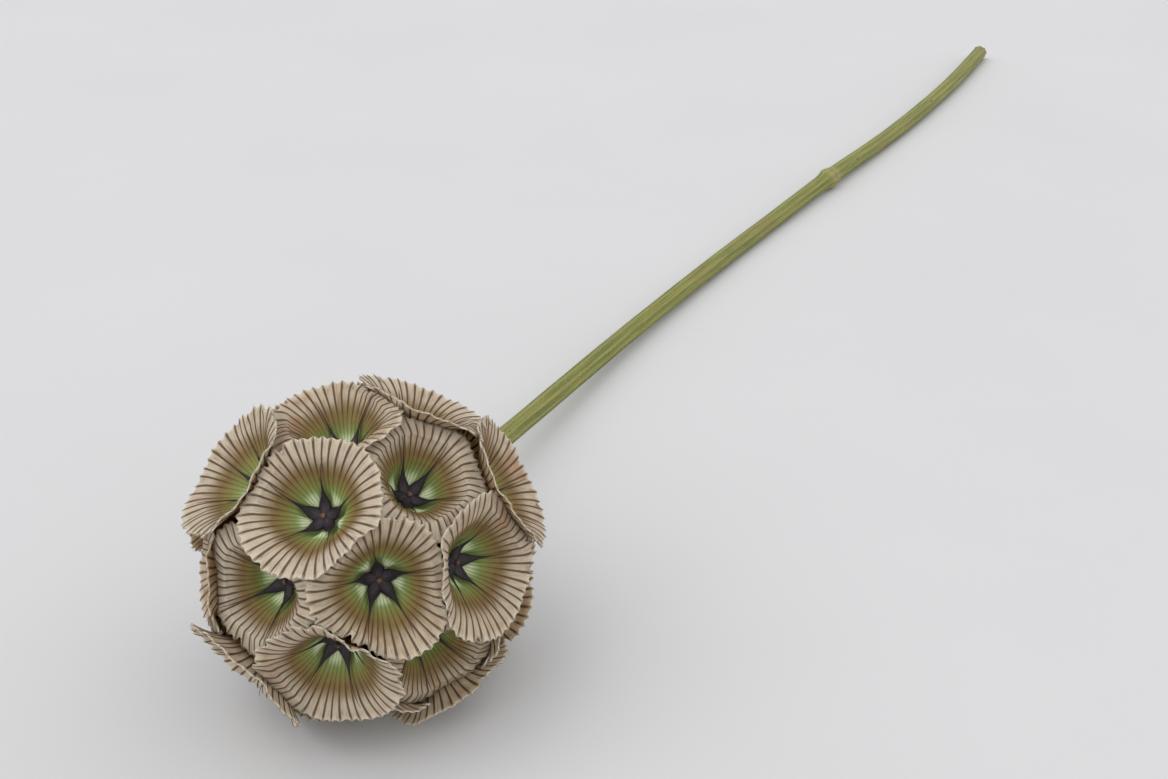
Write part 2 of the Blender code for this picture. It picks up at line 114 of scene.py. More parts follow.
class Skins:
    """Closed skins gathered in one piece. A skin is a grid: rings of points from one end to the other,
    each closed round, with a point at both ends. Every point may carry named values for the material."""

    def __init__(self):
        self.points = []
        self.quads = []
        self.triangles = []
        self.quad_sheet = []
        self.triangle_sheet = []
        self.values = {}
        self.count = 0

    def keep(self, points, values):
        """Take points in, with their values, and give the number of the first."""
        start = self.count
        self.points.append(points)
        self.count += len(points)
        for name, value in values.items():
            self.values.setdefault(name, []).append(np.broadcast_to(value, len(points)))
        return start

    def add(self, rings, reach, **values):
        """A skin of rings. reach runs from ring to ring and turns run round it: the sheet coordinates. The
        two end points are the middles of the end rings."""
        many, sides = rings.shape[:2]
        ends = np.stack([rings[0].mean(axis=0), rings[-1].mean(axis=0)])
        spread = {}
        for name, value in values.items():
            column = np.reshape(value, (-1, 1)) if np.ndim(value) == 1 else value
            grid = np.broadcast_to(column, (many, sides))
            spread[name] = np.concatenate([grid.ravel(), [grid[0].mean(), grid[-1].mean()]])
        start = self.keep(np.concatenate([rings.reshape(-1, 3), ends]), spread)
        here = start + np.arange(many * sides).reshape(many, sides)
        after = np.roll(here, -1, axis=1)
        self.quads.append(np.stack([here[:-1], here[1:], after[1:], after[:-1]], axis=-1).reshape(-1, 4))
        turn = np.broadcast_to(np.arange(sides) / sides, (many - 1, sides))
        low = np.broadcast_to(reach[:-1, None], turn.shape)
        high = np.broadcast_to(reach[1:, None], turn.shape)
        corner_turn = np.stack([turn, turn, turn + 1.0 / sides, turn + 1.0 / sides], axis=-1)
        corner_reach = np.stack([low, high, high, low], axis=-1)
        self.quad_sheet.append(np.stack([corner_turn, corner_reach], axis=-1).reshape(-1, 2))
        pole = start + many * sides
        for tip, ring, follow, place in (
            (pole, here[0], after[0], reach[0]),
            (pole + 1, after[-1], here[-1], reach[-1]),
        ):
            self.triangles.append(np.stack([np.full(sides, tip), ring, follow], axis=-1))
            around = turn[0][:, None] + np.array([0.5, 0.0, 1.0]) / sides
            fan = np.stack([around, np.full_like(around, place)], axis=-1)
            self.triangle_sheet.append(fan.reshape(-1, 2))

    def add_needles(self, roots, tips, radius, place=0.0, **values):
        """Hairs and bristles: a slim three-sided cone from each root to its tip. place is their reach on the
        sheet."""
        along = unit(tips - roots)
        helper = np.where(np.abs(along[:, 2:]) < 0.9, [[0.0, 0.0, 1.0]], [[1.0, 0.0, 0.0]])
        first = unit(np.cross(along, helper))
        second = np.cross(along, first)
        corners = [roots + radius * (math.cos(a) * first + math.sin(a) * second) for a in circle(3)]
        points = np.stack([*corners, tips], axis=1).reshape(-1, 3)
        spread = {name: np.repeat(np.broadcast_to(value, len(roots)), 4) for name, value in values.items()}
        start = self.keep(points, spread)
        faces = np.array([[0, 1, 3], [1, 2, 3], [2, 0, 3], [0, 2, 1]])
        all_faces = start + 4 * np.arange(len(roots))[:, None, None] + faces
        self.triangles.append(all_faces.reshape(-1, 3))
        self.triangle_sheet.append(np.tile([0.0, place], (all_faces.size, 1)))

    def make(self, name, finish, node):
        """Make the finished piece, smooth, on the one body, in place of a solid."""
        mesh = bpy.data.meshes.new(name)
        points = np.concatenate(self.points).astype(np.float32)
        groups = [np.concatenate(group) for group in (self.quads, self.triangles) if group]
        corners = np.concatenate([group.ravel() for group in groups]).astype(np.int32)
        sizes = np.concatenate([np.full(len(group), group.shape[1]) for group in groups])
        starts = (np.cumsum(sizes) - sizes).astype(np.int32)
        sheets = [np.concatenate(sheet) for sheet in (self.quad_sheet, self.triangle_sheet) if sheet]
        mesh.vertices.add(len(points))
        mesh.vertices.foreach_set("co", points.ravel())
        mesh.loops.add(len(corners))
        mesh.loops.foreach_set("vertex_index", corners)
        mesh.polygons.add(len(sizes))
        mesh.polygons.foreach_set("loop_start", starts)
        mesh.update(calc_edges=True)
        mesh.uv_layers.new(name="sheet")
        mesh.uv_layers["sheet"].data.foreach_set("uv", np.concatenate(sheets).astype(np.float32).ravel())
        for value_name, parts in self.values.items():
            attribute = mesh.attributes.new(value_name, "FLOAT", "POINT")
            attribute.data.foreach_set("value", np.concatenate(parts).astype(np.float32))
        mesh.polygons.foreach_set("use_smooth", np.ones(len(sizes), dtype=bool))
        mesh.validate()
        mesh.materials.append(finish.material)
        piece = put_in_scene(name, mesh)
        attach(piece, "root")
        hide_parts(node)


def paint(red, green, blue):
    """A colour given as 0 to 255 on screen, as the shader reads it: the screen's curve, undone."""
    screen = np.array([red, green, blue]) / 255.0
    linear = np.where(screen <= 0.04045, screen / 12.92, ((screen + 0.055) / 1.055) ** 2.4)
    return (*map(float, linear), 1.0)


class Wire:
    """A value that changes over the surface: one output of a node. Sums with wires add Math nodes."""

    def __init__(self, finish, socket):
        self.finish = finish
        self.socket = socket

    def outlet(self, name):
        """Another output of the same node."""
        return Wire(self.finish, self.socket.node.outputs[name])

    def math(self, operation, *inputs):
        """A Math node on wires and plain numbers."""
        return self.finish.add("ShaderNodeMath", {"operation": operation}, dict(enumerate(inputs)))

    def __add__(self, other):
        return self.math("ADD", self, other)

    __radd__ = __add__

    def __sub__(self, other):
        return self.math("SUBTRACT", self, other)

    def __rsub__(self, other):
        return self.math("SUBTRACT", other, self)

    def __mul__(self, other):
        return self.math("MULTIPLY", self, other)

    __rmul__ = __mul__

    def __abs__(self):
        return self.math("ABSOLUTE", self)

    def fraction(self):
        return self.math("FRACT", self)

    def sine(self):
        return self.math("SINE", self)

    def step(self, low, high):
        """0 below one value and 1 above the other, smooth between them. low may be the higher one."""
        if low > high:
            return 1.0 - self.step(high, low)
        inputs = {"Value": self, "From Min": low, "From Max": high}
        return self.finish.add("ShaderNodeMapRange", {"interpolation_type": "SMOOTHSTEP"}, inputs)


class Finish:
    """One material. What is the same all over is set on the shader's own sockets, by name."""

    def __init__(self, name, constants):
        self.material = bpy.data.materials.new(name)
        self.material.use_nodes = True
        self.tree = self.material.node_tree
        self.shader = self.tree.nodes["Principled BSDF"]
        for socket, value in constants.items():
            self.shader.inputs[socket].default_value = value
        self.place = self.add("ShaderNodeTexCoord", {}, {}).outlet("Object")

    def add(self, kind, settings, inputs):
        """A node of a kind: its settings first, then a value or a wire for each socket."""
        node = self.tree.nodes.new(kind)
        for name, value in settings.items():
            setattr(node, name, value)
        for name, value in inputs.items():
            self.join(value, node.inputs[name])
        return Wire(self, node.outputs[0])

    def join(self, value, socket):
        """Lead a wire to a socket, or set a plain value on it."""
        if isinstance(value, Wire):
            self.tree.links.new(value.socket, socket)
        else:
            socket.default_value = value

    def value(self, name):
        """A value that the points carry."""
        return self.add("ShaderNodeAttribute", {"attribute_name": name}, {}).outlet("Fac")

    def sheet(self):
        """The sheet coordinates: turns round a ring, and reach from ring to ring."""
        plane = self.add("ShaderNodeUVMap", {"uv_map": "sheet"}, {})
        split = self.add("ShaderNodeSeparateXYZ", {}, {"Vector": plane})
        return split.outlet("X"), split.outlet("Y")

    def on_sheet(self, turn, span, third=0.0):
        """The sheet coordinates as one vector, for noise whose streaks follow the form."""
        return self.add("ShaderNodeCombineXYZ", {}, {"X": turn, "Y": span, "Z": third})

    def noise(self, grain, detail=3.0, rough=0.55, along=None, vector=None):
        """Soft noise with clouds of about one grain, stretched where three stretches are given."""
        vector = vector or self.place
        if along is not None:
            vector = self.add("ShaderNodeMapping", {}, {"Vector": vector, "Scale": along})
        inputs = {"Vector": vector, "Scale": 1.0 / grain, "Detail": detail, "Roughness": rough}
        return self.add("ShaderNodeTexNoise", {}, inputs)

    def mix(self, one, two, share):
        """The colour that lies a share of the way from one to two."""
        inputs = {0: share, 6: one, 7: two}
        return self.add("ShaderNodeMix", {"data_type": "RGBA"}, inputs).outlet(2)

    def shine(self, colour, roughness, height, depth):
        """Give the shader its colour, its roughness and a relief of a depth."""
        self.join(colour, self.shader.inputs["Base Color"])
        self.join(roughness, self.shader.inputs["Roughness"])
        bump = self.add("ShaderNodeBump", {}, {"Height": height, "Distance": depth, "Strength": 1.0})
        self.join(bump, self.shader.inputs["Normal"])


def core_rings():
    """A ball, cut to a short neck below. Its radius rises and falls as the product of two sines, one along
    the ball and one round it, which gives the rows of low bumps."""
    polar = np.radians(np.linspace(CORE_TOP_DEGREES, CORE_FOOT_DEGREES, CORE_RINGS))[:, None]
    turn = circle(CORE_SIDES)[None, :]
    down = CORE_BUMP * np.sin(CORE_BUMPS_DOWN * polar)
    bump = down * np.sin(CORE_BUMPS_ROUND * turn + CORE_BUMPS_TWIST * polar)
    radius = CORE_RADIUS - CORE_BUMP + bump
    ball = turned(radius * np.sin(polar), turn, radius * np.cos(polar))
    neck_height = np.linspace(-0.92 * CORE_BASE, -CORE_BASE, CORE_NECK_RINGS)[:, None]
    return np.concatenate([ball, turned(CORE_BASE_RADIUS, turn, neck_height)])


knob = Finish("receptacle_skin", {"Specular IOR Level": 0.3})
knob_grain = knob.noise(0.6 * MILLIMETRE)
knob_colour = knob.mix(paint(128, 132, 78), paint(92, 84, 50), knob_grain.step(0.35, 0.7))
knob.shine(knob_colour, 0.65 + 0.2 * knob_grain, knob_grain, 0.1 * MILLIMETRE)

core = Skins()
core_grid = core_rings()
core.add(from_head(core_grid), np.linspace(0.0, 1.0, len(core_grid)))
core.make("receptacle", knob, "seed_head")


# The papery cups: the dry collars of 28 fruits, each a thin membrane stretched over 42 fine ribs. Cups crowd
# the ball, so each is squared off by its neighbours and its rim lies over the lower ones. The throat is still
# green and narrows to a ridged tube that grew out of the receptacle.
CUP_COUNT = 28
CUP_ROUND_RADIUS = 10.0 * MILLIMETRE
CUP_DEPTH = 6.4 * MILLIMETRE
CUP_WALL = 0.75 * MILLIMETRE
CUP_PLEAT = 0.38 * MILLIMETRE
CUP_RIM_INSET = 1.4 * MILLIMETRE
CUP_GAP = 0.3 * MILLIMETRE
CUP_LEVELS = 4
CUP_LEVEL_STEP = 0.65 * MILLIMETRE
CUP_LEVEL_JITTER = 0.12 * MILLIMETRE
CUP_NEIGHBOUR = math.radians(52.0)
CUP_LIFT_SHARE = 0.28
CUP_OVERLAP = 2.2 * MILLIMETRE
CUP_ROUND_LIP = 9.6 * MILLIMETRE
CUP_TUCK = 2.2 * MILLIMETRE
LIP_START = 0.45
LIP_RISE = 0.24
TUCK_DROP = 0.30
RIM_TOUCH = 0.35 * MILLIMETRE
CENTRE_LIMIT = math.radians(128.0)
RIM_LIMIT = math.radians(147.0)
RIM_SOFTNESS = 15.0
GOLDEN_ANGLE = math.pi * (3.0 - math.sqrt(5.0))
SPIRAL_START = 0.6
SPREAD_STEPS = 200
SPREAD_PUSH = 0.003
SOLID_SEED = 7
CUP_SEED = 31
RIB_COUNT = 42
RIB_STEPS = 5
RIB_WIDTH = 0.12
RIB_HEIGHT = 0.11 * MILLIMETRE
MEMBRANE_SAG = 0.10 * MILLIMETRE
MEMBRANE_THICK = 0.13 * MILLIMETRE
THROAT_THICK = 0.48 * MILLIMETRE
LOBE_DEPTH = 0.42 * MILLIMETRE
LOBE_REACH = 0.32
LOBE_LENGTH = 0.085
RIM_TOOTH = 0.32 * MILLIMETRE
RIM_WAVE = 0.32 * MILLIMETRE
RIM_FLUTTER = 0.25 * MILLIMETRE
RIM_TEARS = 5
RIM_DENTS = 3
TUBE_RADIUS = 2.0 * MILLIMETRE
TUBE_TAPER = 0.5 * MILLIMETRE
TUBE_FOLDS = 8.0
TUBE_RINGS = 12
TUBE_ROOT_HEIGHT = 6.1 * MILLIMETRE
STAR_ARMS = 5
STAR_TURN = 0.11
PRESS_TOP = 3.5 * MILLIMETRE
PRESS_REST = 0.02 * MILLIMETRE

# Differences in height between neighbours. Up to the first their rims meet, and past the second no longer.
# At the third the lower rim is fully tucked under, and at the last the higher one's lip lies fully over it.
LEVEL_SAME = 0.25 * MILLIMETRE
LEVEL_TOUCH = 0.55 * MILLIMETRE
LEVEL_TUCK = 0.8 * MILLIMETRE
LEVEL_OVER = 1.1 * MILLIMETRE

# A neighbour limits the rim on those sides that face it by more than this cosine. Elsewhere it sets no limit.
FACING = 0.05
NO_LIMIT = 1.0

# Bands of the reach, 0 in the middle of the floor and 1 at the rim, over which the throat's wall thins to
# paper, the ribs rise, the rim moves, the flutter grows and the teeth stand out.
PAPER_BAND = (0.30, 0.62)
RIB_BAND = (0.24, 0.5)
EDGE_BAND = (0.80, 1.0)
FLUTTER_BAND = (0.6, 1.0)
TIP_BAND = (0.94, 1.0)

# Profile of a cup's inside, from the middle of its floor to its rim: radius in mm where it is fixed, share of
# the rim's radius where it follows the rim, and height over the floor in mm.
CUP_PROFILE = (
    (0.0, 0.0, 0.10),
    (0.8, 0.0, 0.05),
    (1.6, 0.0, 0.15),
    (2.6, 0.0, 0.95),
    (3.3, 0.0, 2.25),
    (0.0, 0.55, 3.65),
    (0.0, 0.70, 4.80),
    (0.0, 0.84, 5.70),
    (0.0, 0.94, 6.28),
    (0.0, 1.00, 6.56),
)
PROFILE_LAST = len(CUP_PROFILE) - 1


def cup_centres():
    """Directions of the cups: a golden spiral from the head's top, evened out by steps in which every centre
    is pushed away from the others by the inverse fourth power of their distance."""
    index = np.arange(CUP_COUNT)
    cosine = 1.0 - (index + 0.5) / CUP_COUNT * (1.0 - math.cos(CENTRE_LIMIT))
    turn = index * GOLDEN_ANGLE + SPIRAL_START
    sine = np.sqrt(1.0 - cosine**2)
    centres = np.stack([sine * np.cos(turn), sine * np.sin(turn), cosine], axis=1)
    for _ in range(SPREAD_STEPS):
        apart = centres[:, None, :] - centres[None, :, :]
        distance = np.linalg.norm(apart, axis=2)
        np.fill_diagonal(distance, 1.0)
        push = (apart / distance[:, :, None] ** 5).sum(axis=1)
        centres = unit(centres + SPREAD_PUSH * push)
        height = np.maximum(centres[:, 2], math.cos(CENTRE_LIMIT))
        flat = unit(centres[:, :2]) * np.sqrt(1.0 - height**2)[:, None]
        centres = np.concatenate([flat, height[:, None]], axis=1)
    return centres


def cup_lifts(centres, draw):
    """Height of each cup above or below the ball. Each takes the level that the fewest of its neighbours
    have, the lowest of those, and a little more or less by a draw."""
    near = centres @ centres.T > math.cos(CUP_NEIGHBOUR)
    levels = np.full(CUP_COUNT, -1)
    for index in range(CUP_COUNT):
        taken = levels[near[index]]
        counts = [(int((taken == level).sum()), level) for level in range(CUP_LEVELS)]
        levels[index] = min(counts)[1]
    jitter = CUP_LEVEL_JITTER * draw.uniform(-1.0, 1.0, CUP_COUNT)
    return (levels - 0.5 * (CUP_LEVELS - 1)) * CUP_LEVEL_STEP + jitter


def soft_least(limits, most):
    """A soft least of a row of limits and one more: the sum of their high negative powers, with the same root
    taken of it."""
    total = most**-RIM_SOFTNESS + (limits**-RIM_SOFTNESS).sum(axis=1)
    return total ** (-1.0 / RIM_SOFTNESS)


def rim_radii(index, outwards, height):
    """Three values for each side of a rim at a height. The first is its radius: a soft least of the
    cup's round radius and its distances to the planes that part it from its neighbours, one of them mirrored
    below the last rims to leave room for the stem. The second is how far its lip reaches over those that lie
    lower, and the third the share, 0 to 1, by which it is tucked under a higher one."""
    centre = CENTRES[index]
    rise = LIFTS[index] - np.delete(LIFTS, index)
    mirrored = 2.0 * RIM_LIMIT - math.acos(centre[2])
    flat = unit(centre[:2])
    below = np.array([*(flat * math.sin(mirrored)), math.cos(mirrored)])
    others = np.vstack([np.delete(CENTRES, index, axis=0), below])
    rise = np.append(rise, 0.0)
    away = 1.0 - others @ centre
    reach = outwards @ others.T
    over = CUP_OVERLAP * smooth_step(LEVEL_SAME, LEVEL_OVER, rise)
    over = over + RIM_TOUCH * smooth_step(LEVEL_TOUCH, LEVEL_SAME, np.abs(rise))
    parting = CUP_GAP / 2.0 - CUP_LIFT_SHARE * rise
    room = height * away - parting * np.sqrt(2.0 * away)
    facing = reach > FACING
    towards = np.maximum(reach, FACING)
    limits = np.where(facing, room / towards, NO_LIMIT)
    lip_limits = np.where(facing, limits + over / towards, NO_LIMIT)
    radius = soft_least(limits, CUP_ROUND_RADIUS)
    lip = np.maximum(soft_least(lip_limits, CUP_ROUND_LIP) - radius, 0.0)
    nearest = limits**-RIM_SOFTNESS / (radius**-RIM_SOFTNESS)[:, None]
    tucked = (nearest * smooth_step(LEVEL_SAME, LEVEL_TUCK, -rise)).sum(axis=1)
    return radius, lip, tucked


def cup_axes(index):
    """Two directions square to a cup's axis, turned about it, and the axis."""
    centre = CENTRES[index]
    cosine = math.cos(TURNS[index])
    sine = math.sin(TURNS[index])
    helper = np.array([1.0, 0.0, 0.0]) if abs(centre[0]) < 0.8 else np.array([0.0, 1.0, 0.0])
    first = unit(np.cross(centre, helper))
    second = np.cross(centre, first)
    return cosine * first + sine * second, cosine * second - sine * first, centre


def spokes(index, turn):
    """Directions square to a cup's axis, at turns round it."""
    first, second, _ = cup_axes(index)
    return np.outer(np.cos(turn), first) + np.outer(np.sin(turn), second)


def curve_weights(knots, places):
    """Shares of the knots in each place on a smooth curve through them: at a place between two knots, a cubic
    blend of the four nearest, whose slope at each knot is that from the knot before to the knot after."""
    weights = np.zeros((len(places), knots))
    low = np.minimum(places.astype(int), knots - 2)
    f = places - low
    shares = (
        -0.5 * f + f**2 - 0.5 * f**3,
        1.0 - 2.5 * f**2 + 1.5 * f**3,
        0.5 * f + 2.0 * f**2 - 1.5 * f**3,
        -0.5 * f**2 + 0.5 * f**3,
    )
    for offset, share in zip((-1, 0, 1, 2), shares):
        np.add.at(weights, (np.arange(len(places)), np.clip(low + offset, 0, knots - 1)), share)
    return weights


def rim_height(index):
    """Height of a cup's rim over the middle of the head."""
    return HEAD_RADIUS - CUP_RIM_INSET + LIFTS[index]


def floor_height(index):
    """Height of a cup's floor over the middle of the head."""
    return rim_height(index) - CUP_DEPTH


def bell(value):
    """A bell curve: 1 at zero, falling on both sides as e to the minus square."""
    return np.exp(-(value**2))


CUP_SIDES = RIB_COUNT * RIB_STEPS
INSIDE_PLACES = np.concatenate([np.linspace(0.12, 5.0, 14), np.linspace(5.25, PROFILE_LAST, 16)])
BACK_PLACES = np.concatenate([np.linspace(PROFILE_LAST, 5.0, 14), np.linspace(4.6, 3.4, 4)])


def wavy(turn, lows, draw):
    """A slow uneven wave round the rim: a sum of sines of a few low counts, with drawn shares and phases."""
    return sum(draw.uniform(0.3, 1.0) * np.sin(low * turn + draw.uniform(0.0, FULL_TURN)) for low in lows)


def cup_rings(index, draw):
    """The whole skin of one cup, in the head's own axes. Its inside is a curve through the profile, whose
    outer knots follow the rim. Its back is the same curve moved out square to it by the wall, and runs on as
    the tube. Ribs stand out of both faces, a little unevenly spaced, the membrane sags between them, the rim
    waves and is torn and dented here and there, and it ends in a tooth at each rib."""
    even = circle(CUP_SIDES)
    turn = even + 0.010 * np.sin(7.0 * even + index) + 0.006 * np.sin(13.0 * even + 2.0 * index)
    outwards = spokes(index, turn)
    rim, lip, tucked = rim_radii(index, outwards, rim_height(index) - CUP_WALL - CUP_PLEAT)

    fixed, share, height = np.array(CUP_PROFILE).T
    rounder = np.outer((1.0 - share) ** 0.6, rim.mean() - rim)
    knots_radius = fixed[:, None] * MILLIMETRE + share[:, None] * (rim + rounder)
    knots_height = np.repeat(height[:, None] * MILLIMETRE, CUP_SIDES, axis=1)
    knots_radius[-2] += LIP_START * lip
    knots_radius[-1] += lip + CUP_TUCK * tucked
    knots_height[-2] += 0.5 * LIP_RISE * lip
    knots_height[-1] += LIP_RISE * lip - TUCK_DROP * CUP_TUCK * tucked

    rib_place = even * RIB_COUNT / FULL_TURN
    rib_away = np.abs(rib_place - np.round(rib_place))
    ridge = bell(rib_away / RIB_WIDTH)
    gap = np.floor(rib_place).astype(int)
    hollow = 0.5 - 0.5 * np.cos(FULL_TURN * rib_place)
    sag = hollow * draw.uniform(0.4, 1.7, RIB_COUNT)[gap]
    torn = np.zeros(RIB_COUNT)
    torn[draw.integers(0, RIB_COUNT, RIM_TEARS)] = draw.uniform(0.3, 1.2, RIM_TEARS) * MILLIMETRE
    tear = hollow * torn[gap]
    wave = wavy(turn, (2, 3, 5), draw) / 2.0
    flutter = wavy(turn, (7, 11, 17), draw) / 2.0
    dent_turn = draw.uniform(0.0, FULL_TURN, RIM_DENTS)
    dent_depth = draw.uniform(0.2, 0.9, RIM_DENTS) * MILLIMETRE
    dent_width = draw.uniform(0.05, 0.14, RIM_DENTS)
    away = (turn[:, None] - dent_turn + math.pi) % FULL_TURN - math.pi
    dent = (dent_depth * bell(away / dent_width)).sum(axis=1)
    lobe_turn = STAR_ARMS * (turn - STAR_TURN)
    lobes = np.maximum(0.0, -np.cos(lobe_turn)) ** 0.7
    tooth_size = 1.0 + 0.35 * np.sin(5.3 * np.round(rib_place) + index)

    def face(places, back):
        """The inside or the back of the membrane: radius and height at places along the profile. Wall, ribs,
        sag and lobes shift it square to the curve, whose slope is the difference of two near places."""
        weights = curve_weights(len(CUP_PROFILE), places)
        slope = curve_weights(len(CUP_PROFILE), np.minimum(places + 0.02, PROFILE_LAST))
        slope = slope - curve_weights(len(CUP_PROFILE), np.maximum(places - 0.02, 0.0))
        radius = weights @ knots_radius
        level = weights @ knots_height
        run = slope @ knots_radius
        climb = slope @ knots_height
        length = np.hypot(run, climb)
        out_r = climb / length
        out_h = -run / length
        reach = (places / PROFILE_LAST)[:, None]
        paper = smooth_step(*PAPER_BAND, reach)
        edge = smooth_step(*EDGE_BAND, reach)
        wall = MEMBRANE_THICK + (THROAT_THICK - MEMBRANE_THICK) * (1.0 - paper)
        shift = MEMBRANE_SAG * sag * paper * (0.35 + 0.65 * edge)
        shift = shift - LOBE_DEPTH * lobes * bell((reach - LOBE_REACH) / LOBE_LENGTH)
        ribs = RIB_HEIGHT * ridge * smooth_step(*RIB_BAND, reach)
        shift = shift + (wall + ribs if back else -ribs)
        radius = radius + out_r * shift
        level = level + out_h * shift
        level = level + RIM_WAVE * (wave * edge + 0.8 * flutter * smooth_step(*FLUTTER_BAND, reach))
        radius = radius - dent * edge - RIM_FLUTTER * flutter * edge
        tooth = RIM_TOOTH * tooth_size * (0.35 - hollow)
        radius = radius + (tooth - tear) * smooth_step(*TIP_BAND, reach)
        return radius, level + floor_height(index)

    inside = face(INSIDE_PLACES, False)
    back = face(BACK_PLACES, True)
    tube_share = np.linspace(0.0, 1.0, TUBE_RINGS)[1:, None]
    tube_top = back[1][-1][None, :]
    tube_level = tube_top + (TUBE_ROOT_HEIGHT - tube_top) * tube_share
    waist = TUBE_RADIUS - TUBE_TAPER * tube_share
    into_tube = smooth_step(0.0, 0.32, tube_share)
    tube_radius = back[0][-1][None, :] * (1.0 - into_tube) + waist * into_tube
    folds = 0.09 * np.cos(TUBE_FOLDS * turn) + 0.03 * np.cos(2.0 * TUBE_FOLDS * turn)
    ridged = 1.0 + folds * smooth_step(0.0, 0.2, tube_share)
    radius = np.concatenate([inside[0], back[0], tube_radius * ridged])
    level = np.concatenate([inside[1], back[1], np.broadcast_to(tube_level, tube_radius.shape)])
    return radius[..., None] * outwards + level[..., None] * CENTRES[index]


def rest_under(grid, upper, upper_grid):
    """Lower those points of a cup that would stand in a higher one. Over the plane square to the higher cup's
    axis, its back is a height at each angle and distance from the axis, read between the two nearest rings.
    Points that reach above it, less a little room, sink to there. Past its rim the sinking fades out."""
    own = np.stack(cup_axes(upper)).T
    back = upper_grid[BACK_RINGS] @ own
    local = grid.reshape(-1, 3) @ own
    radius = np.hypot(local[:, 0], local[:, 1])
    side_place = np.arctan2(local[:, 1], local[:, 0]) * CUP_SIDES / FULL_TURN
    side = np.round(side_place).astype(int) % CUP_SIDES
    ladder = np.hypot(back[..., 0], back[..., 1])[:, side]
    level = back[..., 2][:, side]
    step = np.clip((ladder > radius).sum(axis=0), 1, len(ladder) - 1)
    point = np.arange(len(radius))
    outer = ladder[step - 1, point]
    share = np.clip((outer - radius) / np.maximum(outer - ladder[step, point], REST_LEAST), 0.0, 1.0)
    roof = level[step - 1, point] * (1.0 - share) + level[step, point] * share
    room = np.repeat(REST_ROOM, grid.shape[1])
    near = smooth_step(REST_FAR, REST_NEAR, radius - ladder[0])
    sink = near * np.maximum(local[:, 2] - roof + room, 0.0) * (local[:, 2] > 0.0)
    return grid - (sink[:, None] * CENTRES[upper]).reshape(grid.shape)


# Heights and turns are drawn as the solids' own are, so every cup lies over its solid.
solid_draw = np.random.default_rng(SOLID_SEED)
CENTRES = cup_centres()
LIFTS = cup_lifts(CENTRES, solid_draw)
TURNS = solid_draw.uniform(0.0, FULL_TURN, CUP_COUNT)

# The rings' reach: 0 to 1 up the inside, on down the back, and to 2 at the root of the tube.
TUBE_REACH = np.linspace(1.65, 2.0, TUBE_RINGS)[1:]
CUP_REACH = np.concatenate([INSIDE_PLACES / PROFILE_LAST, 2.0 - BACK_PLACES / PROFILE_LAST, TUBE_REACH])

cup_draw = np.random.default_rng(CUP_SEED)
cup_tones = cup_draw.uniform(0.0, 1.0, CUP_COUNT)
REST_ROOM_INSIDE = 0.16 * MILLIMETRE
REST_ROOM_BACK = 0.42 * MILLIMETRE
BACK_RINGS = slice(len(INSIDE_PLACES), len(INSIDE_PLACES) + len(BACK_PLACES))
REST_ROOM = np.where(CUP_REACH > 1.0, REST_ROOM_BACK, REST_ROOM_INSIDE)
REST_NEAR = 0.2 * MILLIMETRE
REST_FAR = 1.2 * MILLIMETRE
REST_LEAST = 0.001 * MILLIMETRE
NEIGHBOUR_COSINE = math.cos(math.radians(62.0))

# The highest cup comes first, and each later one is laid under those near it that are already there.
raw_grids = {}
for index in np.argsort(-LIFTS):
    grid = cup_rings(index, cup_draw)
    for upper, upper_grid in raw_grids.items():
        if CENTRES[index] @ CENTRES[upper] > NEIGHBOUR_COSINE:
            grid = rest_under(grid, upper, upper_grid)
    raw_grids[index] = grid
cup_grids = [from_head(raw_grids[index]) for index in range(CUP_COUNT)]
LOWEST = min(grid[..., 2].min() for grid in cup_grids)


def press(points):
    """Where the head rests, all that lies below a height is pressed up evenly, so that its lowest point just
    meets the surface."""
    share = (points[..., 2] - LOWEST) / (PRESS_TOP - LOWEST)
    lifted = np.maximum(PRESS_REST + (PRESS_TOP - PRESS_REST) * share, 0.5 * PRESS_REST)
    pressed = np.array(points)
    pressed[..., 2] = np.where(points[..., 2] < PRESS_TOP, lifted, points[..., 2])
    return pressed


paper = Finish(
    "papery_membrane",
    {
        "Specular IOR Level": 0.35,
        "Subsurface Weight": 0.22,
        "Subsurface Radius": (1.0, 0.75, 0.45),
        "Subsurface Scale": 0.9 * MILLIMETRE,
    },
)
turns_round, reach_out = paper.sheet()
tone = paper.value("tone")
clouds = paper.noise(5.0 * MILLIMETRE, 2.0)
fibres = paper.noise(0.35 * MILLIMETRE, 4.0)
mottle = paper.noise(1.3 * MILLIMETRE, 3.0)
rib_turn = turns_round * RIB_COUNT
on_membrane = paper.on_sheet(rib_turn, reach_out, 40.0 * tone)
strands = paper.noise(1.0, 3.0, 0.6, (5.0, 7.0, 1.0), on_membrane)
creases = paper.noise(1.0, 2.0, 0.5, (1.2, 22.0, 1.0), on_membrane)
rib_near = abs((rib_turn + 0.5).fraction() - 0.5)
rib_line = rib_near.step(0.17, 0.10)
folded = 1.0 - abs(1.0 - reach_out)
wander = folded + 0.06 * (clouds - 0.5) + 0.05 * (mottle - 0.5)
# The pale mint on the five lobes between the star's arms is painted glow and painted highlight, standing for
# light that shines through the thin throat and off its glossy inside. It lies over the throat's own pale
# green.
lobe_side = (turns_round * (FULL_TURN * STAR_ARMS) - (STAR_ARMS * STAR_TURN + math.pi / 2.0)).sine()
painted_lobe_glow = lobe_side.step(-0.35, 0.3) * wander.step(0.47, 0.36) * (0.65 + 0.6 * strands)
throat = paper.mix(paint(150, 166, 100), paint(226, 238, 196), painted_lobe_glow)
veined = paper.mix(throat, paint(104, 124, 60), 0.5 * rib_near.step(0.26, 0.08) * wander.step(0.28, 0.36))
olive = paper.mix(veined, paint(140, 132, 70), wander.step(0.44, 0.56))
brown = paper.mix(olive, paint(132, 108, 64), wander.step(0.52, 0.64))
membrane = paper.mix(paint(180, 163, 138), paint(196, 182, 162), tone)
rusty = paper.mix(membrane, paint(156, 108, 66), clouds.step(0.50, 0.74) * (0.3 + 0.5 * tone.step(0.7, 0.1)))
